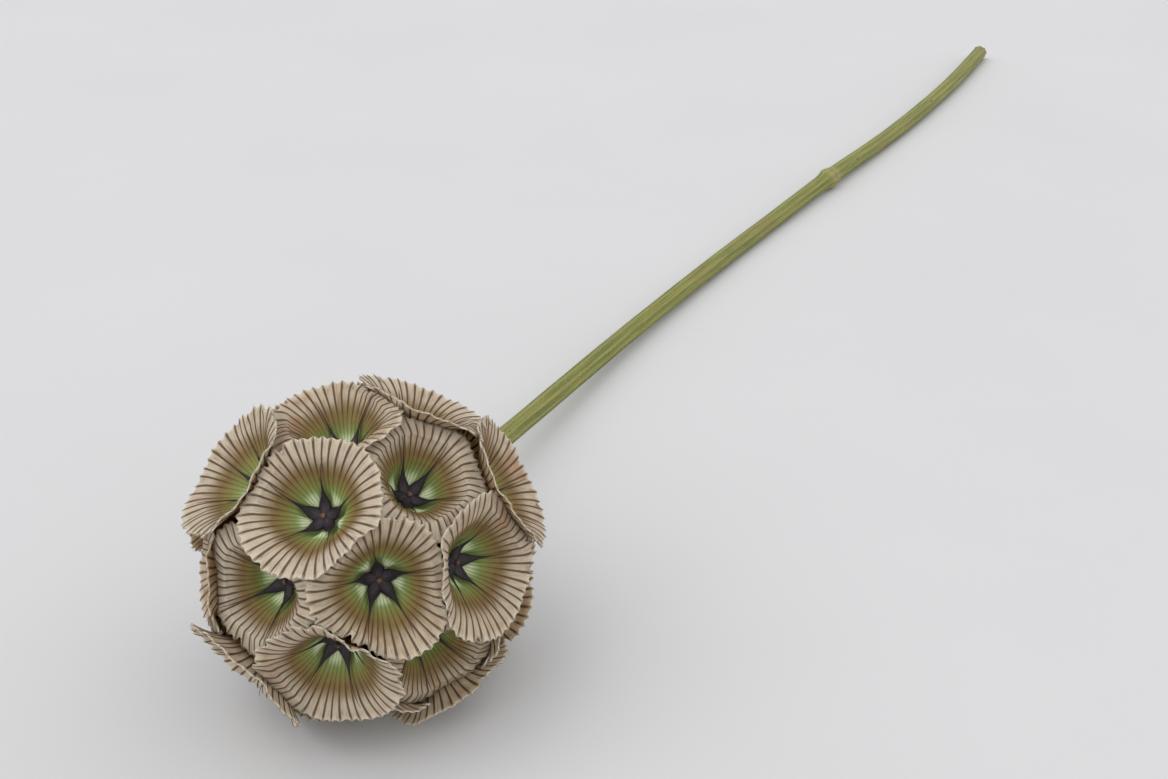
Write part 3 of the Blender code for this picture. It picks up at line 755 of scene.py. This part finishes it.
dry = paper.mix(brown, rusty, wander.step(0.62, 0.82))
pale = paper.mix(dry, paint(212, 200, 178), 0.7 * wander.step(0.90, 0.99))
stranded = paper.mix(pale, paint(112, 88, 60), 0.5 * strands.step(0.5, 0.72) * wander.step(0.4, 0.6))
bleached = paper.mix(stranded, paint(206, 194, 172), 0.45 * strands.step(0.48, 0.28) * wander.step(0.6, 0.85))
rib_shade = paper.mix(paint(68, 48, 30), paint(78, 56, 42), wander.step(0.6, 0.95))
rib_share = rib_line * wander.step(0.36, 0.75) * (1.0 - 0.5 * wander.step(0.93, 1.0))
ribbed = paper.mix(bleached, rib_shade, 0.9 * rib_share)
tube_green = paper.mix(paint(150, 142, 100), paint(112, 118, 66), mottle.step(0.35, 0.65))
tubed = paper.mix(ribbed, tube_green, reach_out.step(1.42, 1.62))
speckled = paper.mix(tubed, paint(88, 62, 40), 0.35 * fibres.step(0.62, 0.8))
strand_relief = 0.6 * strands * wander.step(0.35, 0.6)
crease_relief = 0.5 * creases * wander.step(0.5, 0.75)
relief = 0.35 * fibres + 0.2 * mottle + strand_relief + crease_relief
paper.shine(speckled, 0.62 + 0.2 * mottle - 0.24 * folded.step(0.36, 0.22), relief, 0.12 * MILLIMETRE)

CUP_GROUPS = 4
RIM_RING = len(INSIDE_PLACES) - 1
FRINGE_RADIUS = 0.07 * MILLIMETRE
FRINGE_LENGTHS = (0.15, 0.55)
for group in range(CUP_GROUPS):
    cups = Skins()
    for index in range(group, CUP_COUNT, CUP_GROUPS):
        grid = press(cup_grids[index])
        cups.add(grid, CUP_REACH, tone=cup_tones[index])
        tips = grid[RIM_RING, ::RIB_STEPS]
        roots = grid[RIM_RING - 2, ::RIB_STEPS]
        length = cup_draw.uniform(*FRINGE_LENGTHS, RIB_COUNT)[:, None] * MILLIMETRE
        ends = tips + length * unit(tips - roots)
        for points in (roots, ends):
            points[:, 2] = np.maximum(points[:, 2], FRINGE_RADIUS)
        cups.add_needles(roots, ends, FRINGE_RADIUS, 1.0, tone=cup_tones[index])
    cups.make(f"papery_cups_{group + 1}", paper, "seed_head")


# The dark stars: the dried calyx of each fruit, five flat arms joined in the bottom of the throat. Each arm
# runs out in a stiff bristle as long as the cup is deep. A small brown knob is left in the middle.
STAR_SEED = 43
STAR_STEPS = 22
STAR_SIDES = 8
ARM_LEAST = 0.02 * MILLIMETRE
ARM_KEEL = 0.35
KNOB_RADIUS = 0.38 * MILLIMETRE
KNOB_HEIGHT = 1.75 * MILLIMETRE
KNOB_RINGS = 7
KNOB_SIDES = 10

# Knots of an arm in mm, from the middle of the star to its tip: distance from the cup's axis, height over its
# floor, half width and half thickness.
STAR_PROFILE = (
    (0.10, 1.25, 0.50, 0.20),
    (0.90, 1.25, 0.92, 0.20),
    (1.75, 1.62, 0.76, 0.15),
    (2.60, 2.50, 0.33, 0.11),
    (3.60, 3.85, 0.130, 0.08),
    (4.80, 5.30, 0.085, 0.06),
    (5.90, 6.45, 0.060, 0.045),
    (6.80, 7.10, 0.025, 0.022),
)


def arm_rings(index, arm, draw):
    """One arm, in the head's own axes: a flat lens with a keel, carried along a smooth curve through the
    knots. Its tip is drawn aside by the square of the way along."""
    knots = np.array(STAR_PROFILE) * MILLIMETRE
    stretch = draw.uniform(0.86, 1.04)
    places = np.linspace(0.0, len(knots) - 1.0, STAR_STEPS)
    distance, height, half, thick = (curve_weights(len(knots), places) @ knots).T
    share = places / places[-1]
    grown = 1.0 + (stretch - 1.0) * share
    turn = FULL_TURN * arm / STAR_ARMS + draw.uniform(-0.05, 0.05) + draw.uniform(-0.22, 0.22) * share**2
    level = floor_height(index) + height * grown
    outward = spokes(index, turn + STAR_TURN)
    middle = (distance * grown)[:, None] * outward + level[:, None] * CENTRES[index]
    along = unit(np.gradient(middle, axis=0))
    aside = unit(np.cross(CENTRES[index], along))
    up = np.cross(along, aside)
    around = -circle(STAR_SIDES)
    across = np.cos(around)[None, :] * np.maximum(half, ARM_LEAST)[:, None]
    deep = np.sin(around)[None, :] * np.maximum(thick, ARM_LEAST)[:, None]
    deep = deep - ARM_KEEL * np.abs(across)
    return middle[:, None] + across[..., None] * aside[:, None] + deep[..., None] * up[:, None]


def knob_rings(index):
    """The knob in the middle of a star: a half ball, flattened, whose radius swells at five corners."""
    polar = np.radians(np.linspace(8.0, 110.0, KNOB_RINGS))
    around = circle(KNOB_SIDES)
    radius = KNOB_RADIUS * np.sin(polar)[:, None] * (1.0 + 0.06 * np.cos(STAR_ARMS * around))[None, :]
    level = floor_height(index) + KNOB_HEIGHT + 0.6 * KNOB_RADIUS * (np.cos(polar) - 1.0)
    return radius[..., None] * spokes(index, around + STAR_TURN) + level[:, None, None] * CENTRES[index]


horn = Finish("dark_calyx", {"Specular IOR Level": 0.5})
horn_grain = horn.noise(0.22 * MILLIMETRE, 4.0)
horn_turn, horn_span = horn.sheet()
horn_lines = horn.noise(1.0, 3.0, 0.6, (26.0, 9.0, 1.0), horn.on_sheet(horn_turn, horn_span))
horn_dark = horn.mix(paint(30, 20, 29), paint(66, 50, 58), horn_lines.step(0.45, 0.75))
horn_tip = horn.mix(horn_dark, paint(96, 62, 42), horn_span.step(0.45, 0.9))
horn_boss = horn.mix(paint(124, 88, 62), paint(58, 38, 36), horn_grain.step(0.42, 0.62))
horn_colour = horn.mix(horn_tip, horn_boss, horn.value("boss"))
horn.shine(horn_colour, 0.42 + 0.25 * horn_grain, 0.7 * horn_lines + 0.5 * horn_grain, 0.10 * MILLIMETRE)

star_draw = np.random.default_rng(STAR_SEED)
stars = Skins()
for index in range(CUP_COUNT):
    for arm in range(STAR_ARMS):
        grid = arm_rings(index, arm, star_draw)
        stars.add(press(from_head(grid)), np.linspace(0.0, 1.0, STAR_STEPS), boss=0.0)
    grid = knob_rings(index)
    stars.add(press(from_head(grid)), np.linspace(0.0, 1.0, len(grid)), boss=1.0)
stars.make("dark_stars", horn, "seed_head")


# The down on the tubes: silky hairs that clothe each tube from the receptacle up to its cup and show from
# below the head, between the stalks of the lowest cups.
DOWN_SEED = 57
TUBE_HAIRS = 90
HAIR_RADIUS = 0.035 * MILLIMETRE
HAIR_BELOW_FLOOR = 0.8 * MILLIMETRE
HAIR_ROOT_RADIUS = 1.55 * MILLIMETRE
HAIR_ROOT_SPREAD = 0.35 * MILLIMETRE


def tube_hairs(index, draw):
    """Roots spread at random over the tube, and tips a hair's length outwards and up."""
    axis = CENTRES[index]
    turn = draw.uniform(0.0, FULL_TURN, TUBE_HAIRS)
    share = draw.uniform(0.0, 1.0, TUBE_HAIRS)
    level = TUBE_ROOT_HEIGHT + (floor_height(index) - HAIR_BELOW_FLOOR - TUBE_ROOT_HEIGHT) * share
    outward = spokes(index, turn)
    roots = (HAIR_ROOT_RADIUS + HAIR_ROOT_SPREAD * share)[:, None] * outward + level[:, None] * axis
    length = draw.uniform(0.7, 1.7, TUBE_HAIRS)[:, None] * MILLIMETRE
    lean = unit(outward + draw.uniform(0.3, 1.3, TUBE_HAIRS)[:, None] * axis)
    return roots, roots + length * lean


down = Finish("silky_down", {"Specular IOR Level": 0.4})
down_grain = down.noise(2.0 * MILLIMETRE)
down_colour = down.mix(paint(214, 206, 178), paint(176, 160, 122), down_grain)
down.shine(down_colour, 0.6 + 0.1 * down_grain, down_grain, 0.01 * MILLIMETRE)

down_draw = np.random.default_rng(DOWN_SEED)
tube_down = Skins()
for index in range(CUP_COUNT):
    roots, tips = tube_hairs(index, down_draw)
    tube_down.add_needles(press(from_head(roots)), press(from_head(tips)), HAIR_RADIUS)
tube_down.make("tube_down", down, "seed_head")


# The bracts: a whorl of ten narrow green blades round a flat disc under the head. They leave the disc nearly
# square to the stem and bend back along it. Each is channelled, with a midrib below and stiff hairs at its
# edges.
BRACT_SEED = 71
BRACT_COUNT = 10
BRACT_LENGTH = 13.5 * MILLIMETRE
BRACT_WIDTH = 2.5 * MILLIMETRE
BRACT_LEAN = math.radians(27.0)
BRACT_ROOT = 2.0 * MILLIMETRE
BRACT_TIP = 0.12 * MILLIMETRE
BRACT_CHANNEL = 0.25
BRACT_THICK = 0.42 * MILLIMETRE
BRACT_SWAY = 0.25 * MILLIMETRE
MIDRIB_WIDTH = 0.16
BRACT_STEPS = 40
BRACT_SIDES = 24
BRACT_HAIRS = 60
CLEARANCE = 0.3 * MILLIMETRE
DISC_RADIUS = 3.4 * MILLIMETRE
DISC_HEIGHT = 1.6 * MILLIMETRE
DISC_SIDES = 60

# Outline of the disc, from its top to its foot: shares of its radius and of its height.
DISC_PROFILE = (
    (0.3, 0.0),
    (0.8, 0.0),
    (0.95, 0.08),
    (1.0, 0.3),
    (1.0, 0.7),
    (0.95, 0.92),
    (0.8, 1.0),
    (0.55, 1.0),
)


def bract_rings(turn, length, curl, draw):
    """One blade, in the head's own axes. Its path is the running sum of a direction that leans over more and
    more. Across it stands a lens whose edges are raised to a channel and whose back has a midrib. The path,
    the half width and the directions across and out of the blade come too, for its hairs."""
    outward = np.array([math.cos(turn), math.sin(turn), 0.0])
    across = np.array([-math.sin(turn), math.cos(turn), 0.0])
    share = np.linspace(0.0, 1.0, BRACT_STEPS)
    lean = BRACT_LEAN + curl * share
    direction = np.outer(np.cos(lean), outward) - np.outer(np.sin(lean), UP)
    normal = np.outer(np.sin(lean), outward) + np.outer(np.cos(lean), UP)
    steps = length / (BRACT_STEPS - 1) * direction
    root = BRACT_ROOT * outward - (CORE_BASE + CLEARANCE + 0.5 * DISC_HEIGHT) * UP
    path = root + np.concatenate([np.zeros((1, 3)), np.cumsum(steps, axis=0)[:-1]])
    sway = BRACT_SWAY * np.sin(5.0 * share + draw.uniform(0.0, 6.0)) * share
    path = path + sway[:, None] * across
    half = 0.5 * BRACT_WIDTH * (1.0 - share**2.2) * (0.75 + 0.5 * share) + BRACT_TIP
    thick = 0.5 * BRACT_THICK * (1.0 - 0.6 * share)
    around = -circle(BRACT_SIDES)
    side = np.cos(around)[None, :]
    raised = BRACT_CHANNEL * half[:, None] * side**2
    rib = 0.5 * bell(side / MIDRIB_WIDTH) * np.where(np.sin(around) < 0.0, 1.0, -0.35)
    deep = thick[:, None] * (np.sin(around) * (0.55 + 0.45 * (1.0 - side**2)) - rib) - 0.5 * BRACT_THICK
    rings = path[:, None] + (half[:, None] * side)[..., None] * across
    return rings + (raised + deep)[..., None] * normal[:, None], path, half, across, normal


leafy = Finish("bract_skin", {"Specular IOR Level": 0.4})
leaf_cloud = leafy.noise(2.4 * MILLIMETRE)
leaf_vein = leafy.noise(0.5 * MILLIMETRE, 3.0)
leaf_turn, leaf_span = leafy.sheet()
leaf_colour = leafy.mix(paint(96, 116, 52), paint(136, 146, 82), leaf_cloud.step(0.3, 0.7))
leaf_lines = leafy.noise(1.0, 2.0, 0.5, (34.0, 2.5, 1.0), leafy.on_sheet(leaf_turn, leaf_span))
leaf_lined = leafy.mix(leaf_colour, paint(78, 96, 42), 0.5 * leaf_lines.step(0.5, 0.68))
leaf_midrib = leafy.mix(leaf_lined, paint(162, 168, 112), 0.7 * abs(leaf_turn - 0.25).step(0.045, 0.012))
leaf_dry = leafy.mix(leaf_midrib, paint(140, 110, 70), 0.8 * leaf_span.step(0.8, 1.0))
leaf_hair = leafy.mix(leaf_dry, paint(208, 206, 176), leafy.value("hair"))
leafy.shine(leaf_hair, 0.5 + 0.2 * leaf_vein, 0.6 * leaf_vein + 0.6 * leaf_lines, 0.08 * MILLIMETRE)

# Turns, lengths and curls are drawn as the solids' own are.
solid_bract_draw = np.random.default_rng(SOLID_SEED + 1)
bract_draw = np.random.default_rng(BRACT_SEED)
bracts = Skins()
disc_share, disc_depth = np.array(DISC_PROFILE).T[..., None]
disc_around = circle(DISC_SIDES)
disc_radius = disc_share * DISC_RADIUS * (1.0 + 0.04 * np.cos(BRACT_COUNT * disc_around))
disc_rings = turned(disc_radius, disc_around, -(CORE_BASE + CLEARANCE + disc_depth * DISC_HEIGHT))
bracts.add(from_head(disc_rings), np.linspace(0.0, 0.3, len(disc_rings)), hair=0.0)
for index in range(BRACT_COUNT):
    turn = FULL_TURN * (index + 0.25 * solid_bract_draw.uniform(-1.0, 1.0)) / BRACT_COUNT
    length = BRACT_LENGTH * solid_bract_draw.uniform(0.85, 1.15)
    curl = math.radians(solid_bract_draw.uniform(42.0, 85.0))
    grid, path, half, across, normal = bract_rings(turn, length, curl, bract_draw)
    bracts.add(from_head(grid), np.linspace(0.0, 1.0, BRACT_STEPS), hair=0.0)
    spot = bract_draw.integers(2, BRACT_STEPS - 1, BRACT_HAIRS)
    side = np.where(bract_draw.uniform(size=BRACT_HAIRS) < 0.5, -1.0, 1.0)
    lift = np.where(np.arange(BRACT_HAIRS) % 3 == 0, 0.2, 0.95)
    edge = path[spot] + (side * half[spot] * lift)[:, None] * across - 0.3 * MILLIMETRE * normal[spot]
    droop = bract_draw.uniform(0.1, 0.8, BRACT_HAIRS)[:, None]
    lean = unit(side[:, None] * across * lift[:, None] - droop * normal[spot])
    hair_length = bract_draw.uniform(0.4, 1.0, BRACT_HAIRS)[:, None] * MILLIMETRE
    bracts.add_needles(from_head(edge), from_head(edge + hair_length * lean), HAIR_RADIUS, hair=1.0)
bracts.make("bract_whorl", leafy, "bracts")


# The stem: a slender ridged stalk, yellow green, with fine down that thickens towards the head. It has one
# swollen node with the scars of two leaves, and a slanting cut that shows its pale pith, and it lies along
# the surface.
STEM_SEED = 83
STEM_TOP_RADIUS = 1.7 * MILLIMETRE
STEM_END_RADIUS = 2.2 * MILLIMETRE
STEM_RIDGE = 0.06
STEM_RIDGES = 8
STEM_FLARE = 0.9 * MILLIMETRE
STEM_FLARE_LENGTH = 4.0 * MILLIMETRE
STEM_TOUCH = 170.0 * MILLIMETRE
STEM_SWAY = 4.5 * MILLIMETRE
STEM_NODE_PLACE = 215.0 * MILLIMETRE
STEM_NODE_SWELL = 0.6 * MILLIMETRE
STEM_NODE_LENGTH = 3.0 * MILLIMETRE
STEM_NODE_RISE = 28.0 * MILLIMETRE
SCAR_BOW = 0.9 * MILLIMETRE
SCAR_LIP = 0.30 * MILLIMETRE
NODE_LIP = 0.10 * MILLIMETRE
NODE_GROOVE = 0.22 * MILLIMETRE
NODE_MARK = 1.6 * MILLIMETRE
CUT_SLANT = 0.45
CUT_LENGTH = 4.0 * MILLIMETRE
CUT_SHARES = np.array([0.97, 0.90, 0.80, 0.68, 0.52, 0.35, 0.18])
PITH_HOLLOW = 0.7 * MILLIMETRE
STEM_RINGS = 500
NODE_RINGS = 80
NODE_REACH = 5.0 * MILLIMETRE
STEM_SIDES = 96
STEM_HAIRS = 2600
HAIR_SINK = 0.05 * MILLIMETRE
BARE_END = 6.0 * MILLIMETRE
STEM_TOP = HEAD_CENTRE - (CORE_BASE + DISC_HEIGHT + 2.0 * CLEARANCE) * HEAD_TURN[2]
STEM_LENGTH = 0.5 * OVERALL_LENGTH + ROW_SHIFT - STEM_TOP[0]


def stem_taper(along):
    """Radius of the plain stem at a distance from its top."""
    return STEM_TOP_RADIUS + (STEM_END_RADIUS - STEM_TOP_RADIUS) * along / STEM_LENGTH


def stem_radius(along):
    """The taper with a flare under the head, a fading exponential, and one swollen node, a bell curve."""
    flare = STEM_FLARE * np.exp(-along / STEM_FLARE_LENGTH)
    node = STEM_NODE_SWELL * bell((along - STEM_NODE_PLACE) / STEM_NODE_LENGTH)
    return stem_taper(along) + flare + node


def stem_path(along):
    """Centre line: it leaves the head along the head's axis, settles to the surface along a fading
    exponential, and then lies on it with a slow sideways sway, a little raised where its node rests."""
    axis = HEAD_TURN[2]
    raised = STEM_NODE_SWELL * bell((along - STEM_NODE_PLACE) / STEM_NODE_RISE)
    lying = (stem_taper(along) + raised) * (1.0 + STEM_RIDGE)
    drop = STEM_TOP[2] - STEM_TOP_RADIUS * (1.0 + STEM_RIDGE)
    fade = -drop * axis[0] / axis[2]
    end = math.exp(-STEM_TOUCH / fade)
    settle = np.maximum(np.exp(-along / fade) - end, 0.0) / (1.0 - end)
    sway = STEM_SWAY * np.sin(FULL_TURN * along / STEM_LENGTH) * along / STEM_LENGTH
    aside = (axis[1] / axis[0]) * fade * (1.0 - np.exp(-along / fade)) + sway
    return np.stack([STEM_TOP[0] + along, STEM_TOP[1] + aside, lying + drop * settle], axis=1)


def stem_axes(along):
    """Direction of the centre line, by the difference of two near points, and two directions square to it,
    the first of them level."""
    step = 0.5 * MILLIMETRE
    tangents = unit(stem_path(along + step) - stem_path(along - step))
    tangents[along <= 0.0] = -HEAD_TURN[2]
    sides = unit(np.cross(tangents, UP))
    return tangents, sides, np.cross(sides, tangents)


def leaf_scars(around):
    """1 in the middle of each of the two leaf scars, 0 between them: the square of a cosine, cut at zero."""
    return np.maximum(0.0, np.cos(2.0 * around)) ** 2


def stem_surface(along, around):
    """Points of the skin at a distance from the top and an angle round the stem, and the directions out of
    it. The radius has a cosine for the eight rounded ridges, a finer one for lines that wander on them, slow
    sines along the stem, and at the node a lip and a groove, both bell curves that bow at the leaf scars."""
    fine = 0.010 * np.cos(3.0 * STEM_RIDGES * around + 30.0 * along)
    slow = 0.014 * np.sin(95.0 * along + np.cos(around)) + 0.008 * np.sin(310.0 * along)
    ridge = STEM_RIDGE * np.cos(STEM_RIDGES * around)
    from_node = along - STEM_NODE_PLACE
    scar = leaf_scars(around)
    edge = from_node - SCAR_BOW * scar
    lip = (NODE_LIP + SCAR_LIP * scar) * bell((edge + 0.5 * MILLIMETRE) / (0.35 * MILLIMETRE))
    groove = NODE_GROOVE * bell((edge - 0.35 * MILLIMETRE) / (0.3 * MILLIMETRE))
    radius = stem_radius(along) * (1.0 + ridge + fine + slow) + lip - groove
    _, sides, ups = stem_axes(np.ravel(along))
    shape = np.broadcast_shapes(np.shape(along), np.shape(around))
    sides = sides.reshape(*np.shape(along), 3)
    ups = ups.reshape(*np.shape(along), 3)
    centre = stem_path(np.ravel(along)).reshape(*np.shape(along), 3)
    angle = np.broadcast_to(around, shape)[..., None]
    outward = np.cos(angle) * sides + np.sin(angle) * ups
    return centre + radius[..., None] * outward, outward


bark = Finish(
    "stem_skin",
    {
        "Specular IOR Level": 0.45,
        "Subsurface Weight": 0.08,
        "Subsurface Scale": 1.0 * MILLIMETRE,
    },
)
stem_turn, stem_span = bark.sheet()
on_stem = bark.on_sheet(stem_turn, stem_span)
streak = bark.noise(1.0, 4.0, 0.65, (13.0, 15.0, 1.0), on_stem)
fibre = bark.noise(1.0, 2.0, 0.5, (90.0, 30.0, 1.0), on_stem)
patch = bark.noise(16.0 * MILLIMETRE, 2.0)
speck = bark.noise(1.1 * MILLIMETRE, 2.0, 0.5, (0.45, 1.0, 1.0))
cells = bark.noise(0.22 * MILLIMETRE, 2.0, 0.5, (0.25, 1.0, 1.0))
ridge_line = (stem_turn * (FULL_TURN * STEM_RIDGES) + math.pi / 2.0).sine()
bark_green = bark.mix(paint(100, 107, 38), paint(134, 134, 60), streak.step(0.35, 0.65))
bark_ridge = bark.mix(bark_green, paint(154, 150, 78), 0.5 * ridge_line.step(0.1, 1.0))
bark_fibre = bark.mix(bark_ridge, paint(78, 84, 32), 0.55 * fibre.step(0.52, 0.7))
bark_patch = bark.mix(bark_fibre, paint(132, 112, 64), 0.55 * patch.step(0.5, 0.72))
bark_speck = bark.mix(bark_patch, paint(84, 58, 38), 0.85 * speck.step(0.70, 0.77))
node_mark = bark.value("node")
node_pale = bark.mix(bark_speck, paint(156, 150, 92), 0.6 * node_mark.step(0.0, 0.4))
node_ring = bark.mix(node_pale, paint(82, 58, 38), 0.8 * node_mark.step(0.72, 0.9))
cut = bark.value("cut")
pith = bark.mix(paint(176, 172, 120), paint(222, 214, 184), cut.step(0.35, 0.75))
bark_cut = bark.mix(node_ring, pith, cut.step(0.02, 0.10))
bark_hair = bark.mix(bark_cut, paint(206, 206, 176), bark.value("hair"))
bark.shine(bark_hair, 0.46 + 0.18 * streak, 0.3 * cells + 0.4 * streak + 0.5 * fibre, 0.08 * MILLIMETRE)

close_rings = STEM_NODE_PLACE + NODE_REACH * np.linspace(-1.0, 1.0, NODE_RINGS)
along = np.sort(np.concatenate([np.linspace(0.0, STEM_LENGTH, STEM_RINGS), close_rings]))[:, None]
around = circle(STEM_SIDES)[None, :] - math.pi / 2.0
stalk, _ = stem_surface(along, around)
slanting = smooth_step(STEM_LENGTH - CUT_LENGTH, STEM_LENGTH, along[..., 0])
stalk[..., 0] -= CUT_SLANT * stalk[..., 2] * slanting[:, None]
stalk[..., 2] = np.maximum(stalk[..., 2], 0.0)
rim_ring = stalk[-1]
middle = rim_ring.mean(axis=0)
cut_depth = PITH_HOLLOW * smooth_step(0.12, 0.75, 1.0 - CUT_SHARES)
cut_rings = middle + CUT_SHARES[:, None, None] * (rim_ring - middle)
cut_rings[..., 0] -= cut_depth[:, None]
node_away = np.abs(along - STEM_NODE_PLACE - SCAR_BOW * leaf_scars(around))
node_near = np.exp(-(node_away / NODE_MARK))
stem = Skins()
stem.add(
    np.concatenate([stalk, cut_rings]),
    np.concatenate([along[:, 0] / STEM_LENGTH, 2.0 - CUT_SHARES]),
    cut=np.concatenate([np.zeros(len(along)), 1.0 - CUT_SHARES]),
    node=np.concatenate([node_near, np.zeros((len(CUT_SHARES), STEM_SIDES))]),
    hair=0.0,
)
stem_draw = np.random.default_rng(STEM_SEED)
hair_along = (STEM_LENGTH - BARE_END) * stem_draw.uniform(0.0, 1.0, STEM_HAIRS) ** 1.8
hair_around = stem_draw.uniform(0.0, FULL_TURN, STEM_HAIRS)
hair_root, hair_out = stem_surface(hair_along, hair_around)
hair_back = stem_axes(hair_along)[0]
hair_aim = unit(hair_out + stem_draw.uniform(-0.2, 0.9, STEM_HAIRS)[:, None] * hair_back)
hair_length = stem_draw.uniform(0.25, 0.75, STEM_HAIRS)[:, None] * MILLIMETRE
hair_tip = hair_root + hair_length * hair_aim
hair_root = hair_root - HAIR_SINK * hair_out
for points in (hair_root, hair_tip):
    points[:, 2] = np.maximum(points[:, 2], HAIR_RADIUS)
stem.add_needles(hair_root, hair_tip, 0.8 * HAIR_RADIUS, cut=0.0, node=0.0, hair=1.0)
stem.make("ridged_stem", bark, "stem")


# The setting: a wide pale table top under an even pale sky and soft light from two sides, and a camera that
# looks down on the head with the stem running away behind it.
FLOOR_RADIUS = 40.0
FLOOR_SIDES = 64
KEY_STRENGTH = 0.95
FILL_STRENGTH = 0.5
WORLD_STRENGTH = 0.82
CAMERA_AZIMUTH = math.radians(50.0)
CAMERA_ELEVATION = math.radians(34.0)
CAMERA_DISTANCE = 0.20
CAMERA_LENS = 44.0
CAMERA_AIM = np.array([0.103, 0.024, -0.029])

table = Finish("pale_table", {"Specular IOR Level": 0.25})
table_grain = table.noise(90.0 * MILLIMETRE, 4.0)
table_colour = table.mix(paint(212, 212, 213), paint(205, 205, 206), table_grain)
table.shine(table_colour, 0.7 + 0.1 * table_grain, table.noise(0.8 * MILLIMETRE), 0.01 * MILLIMETRE)

floor_mesh = bpy.data.meshes.new("table_top")
floor_corners = [(FLOOR_RADIUS * math.cos(a), FLOOR_RADIUS * math.sin(a), 0.0) for a in circle(FLOOR_SIDES)]
floor_mesh.from_pydata(floor_corners, [], [tuple(range(FLOOR_SIDES))])
floor_mesh.materials.append(table.material)
floor_top = put_in_scene("table_top", floor_mesh)


def aim(item, place, target):
    """Put an object at a place with its -Z axis towards a target and its top up."""
    away = unit(np.asarray(place) - np.asarray(target))
    right = unit(np.cross(UP, away))
    upward = np.cross(away, right)
    rows = np.stack([right, upward, away, place], axis=1).tolist()
    item.matrix_world = Matrix([*rows, [0.0, 0.0, 0.0, 1.0]])


def soft_light(name, place, spread, strength):
    """Even light from one side, as from a far panel that spans an angle."""
    lamp = bpy.data.lights.new(name, "SUN")
    lamp.angle = spread
    lamp.energy = strength
    aim(put_in_scene(name, lamp), place, (0.0, 0.0, 0.0))


soft_light("key_panel", (-0.7, 0.35, 1.0), math.radians(60.0), KEY_STRENGTH)
soft_light("fill_panel", (0.3, -1.0, 0.8), math.radians(90.0), FILL_STRENGTH)

world = bpy.data.worlds.new("studio")
world.use_nodes = True
background = world.node_tree.nodes["Background"]
background.inputs["Color"].default_value = (0.97, 0.97, 0.98, 1.0)
background.inputs["Strength"].default_value = WORLD_STRENGTH
bpy.context.scene.world = world
bpy.context.scene.view_settings.view_transform = "Standard"

camera_data = bpy.data.cameras.new("camera")
camera_data.lens = CAMERA_LENS
camera_data.clip_start = 0.005
camera = put_in_scene("camera", camera_data)
away = np.array(
    [
        -math.sin(CAMERA_AZIMUTH) * math.cos(CAMERA_ELEVATION),
        -math.cos(CAMERA_AZIMUTH) * math.cos(CAMERA_ELEVATION),
        math.sin(CAMERA_ELEVATION),
    ]
)
aim(camera, HEAD_CENTRE + CAMERA_DISTANCE * away, HEAD_CENTRE + CAMERA_AIM)
bpy.context.scene.camera = camera
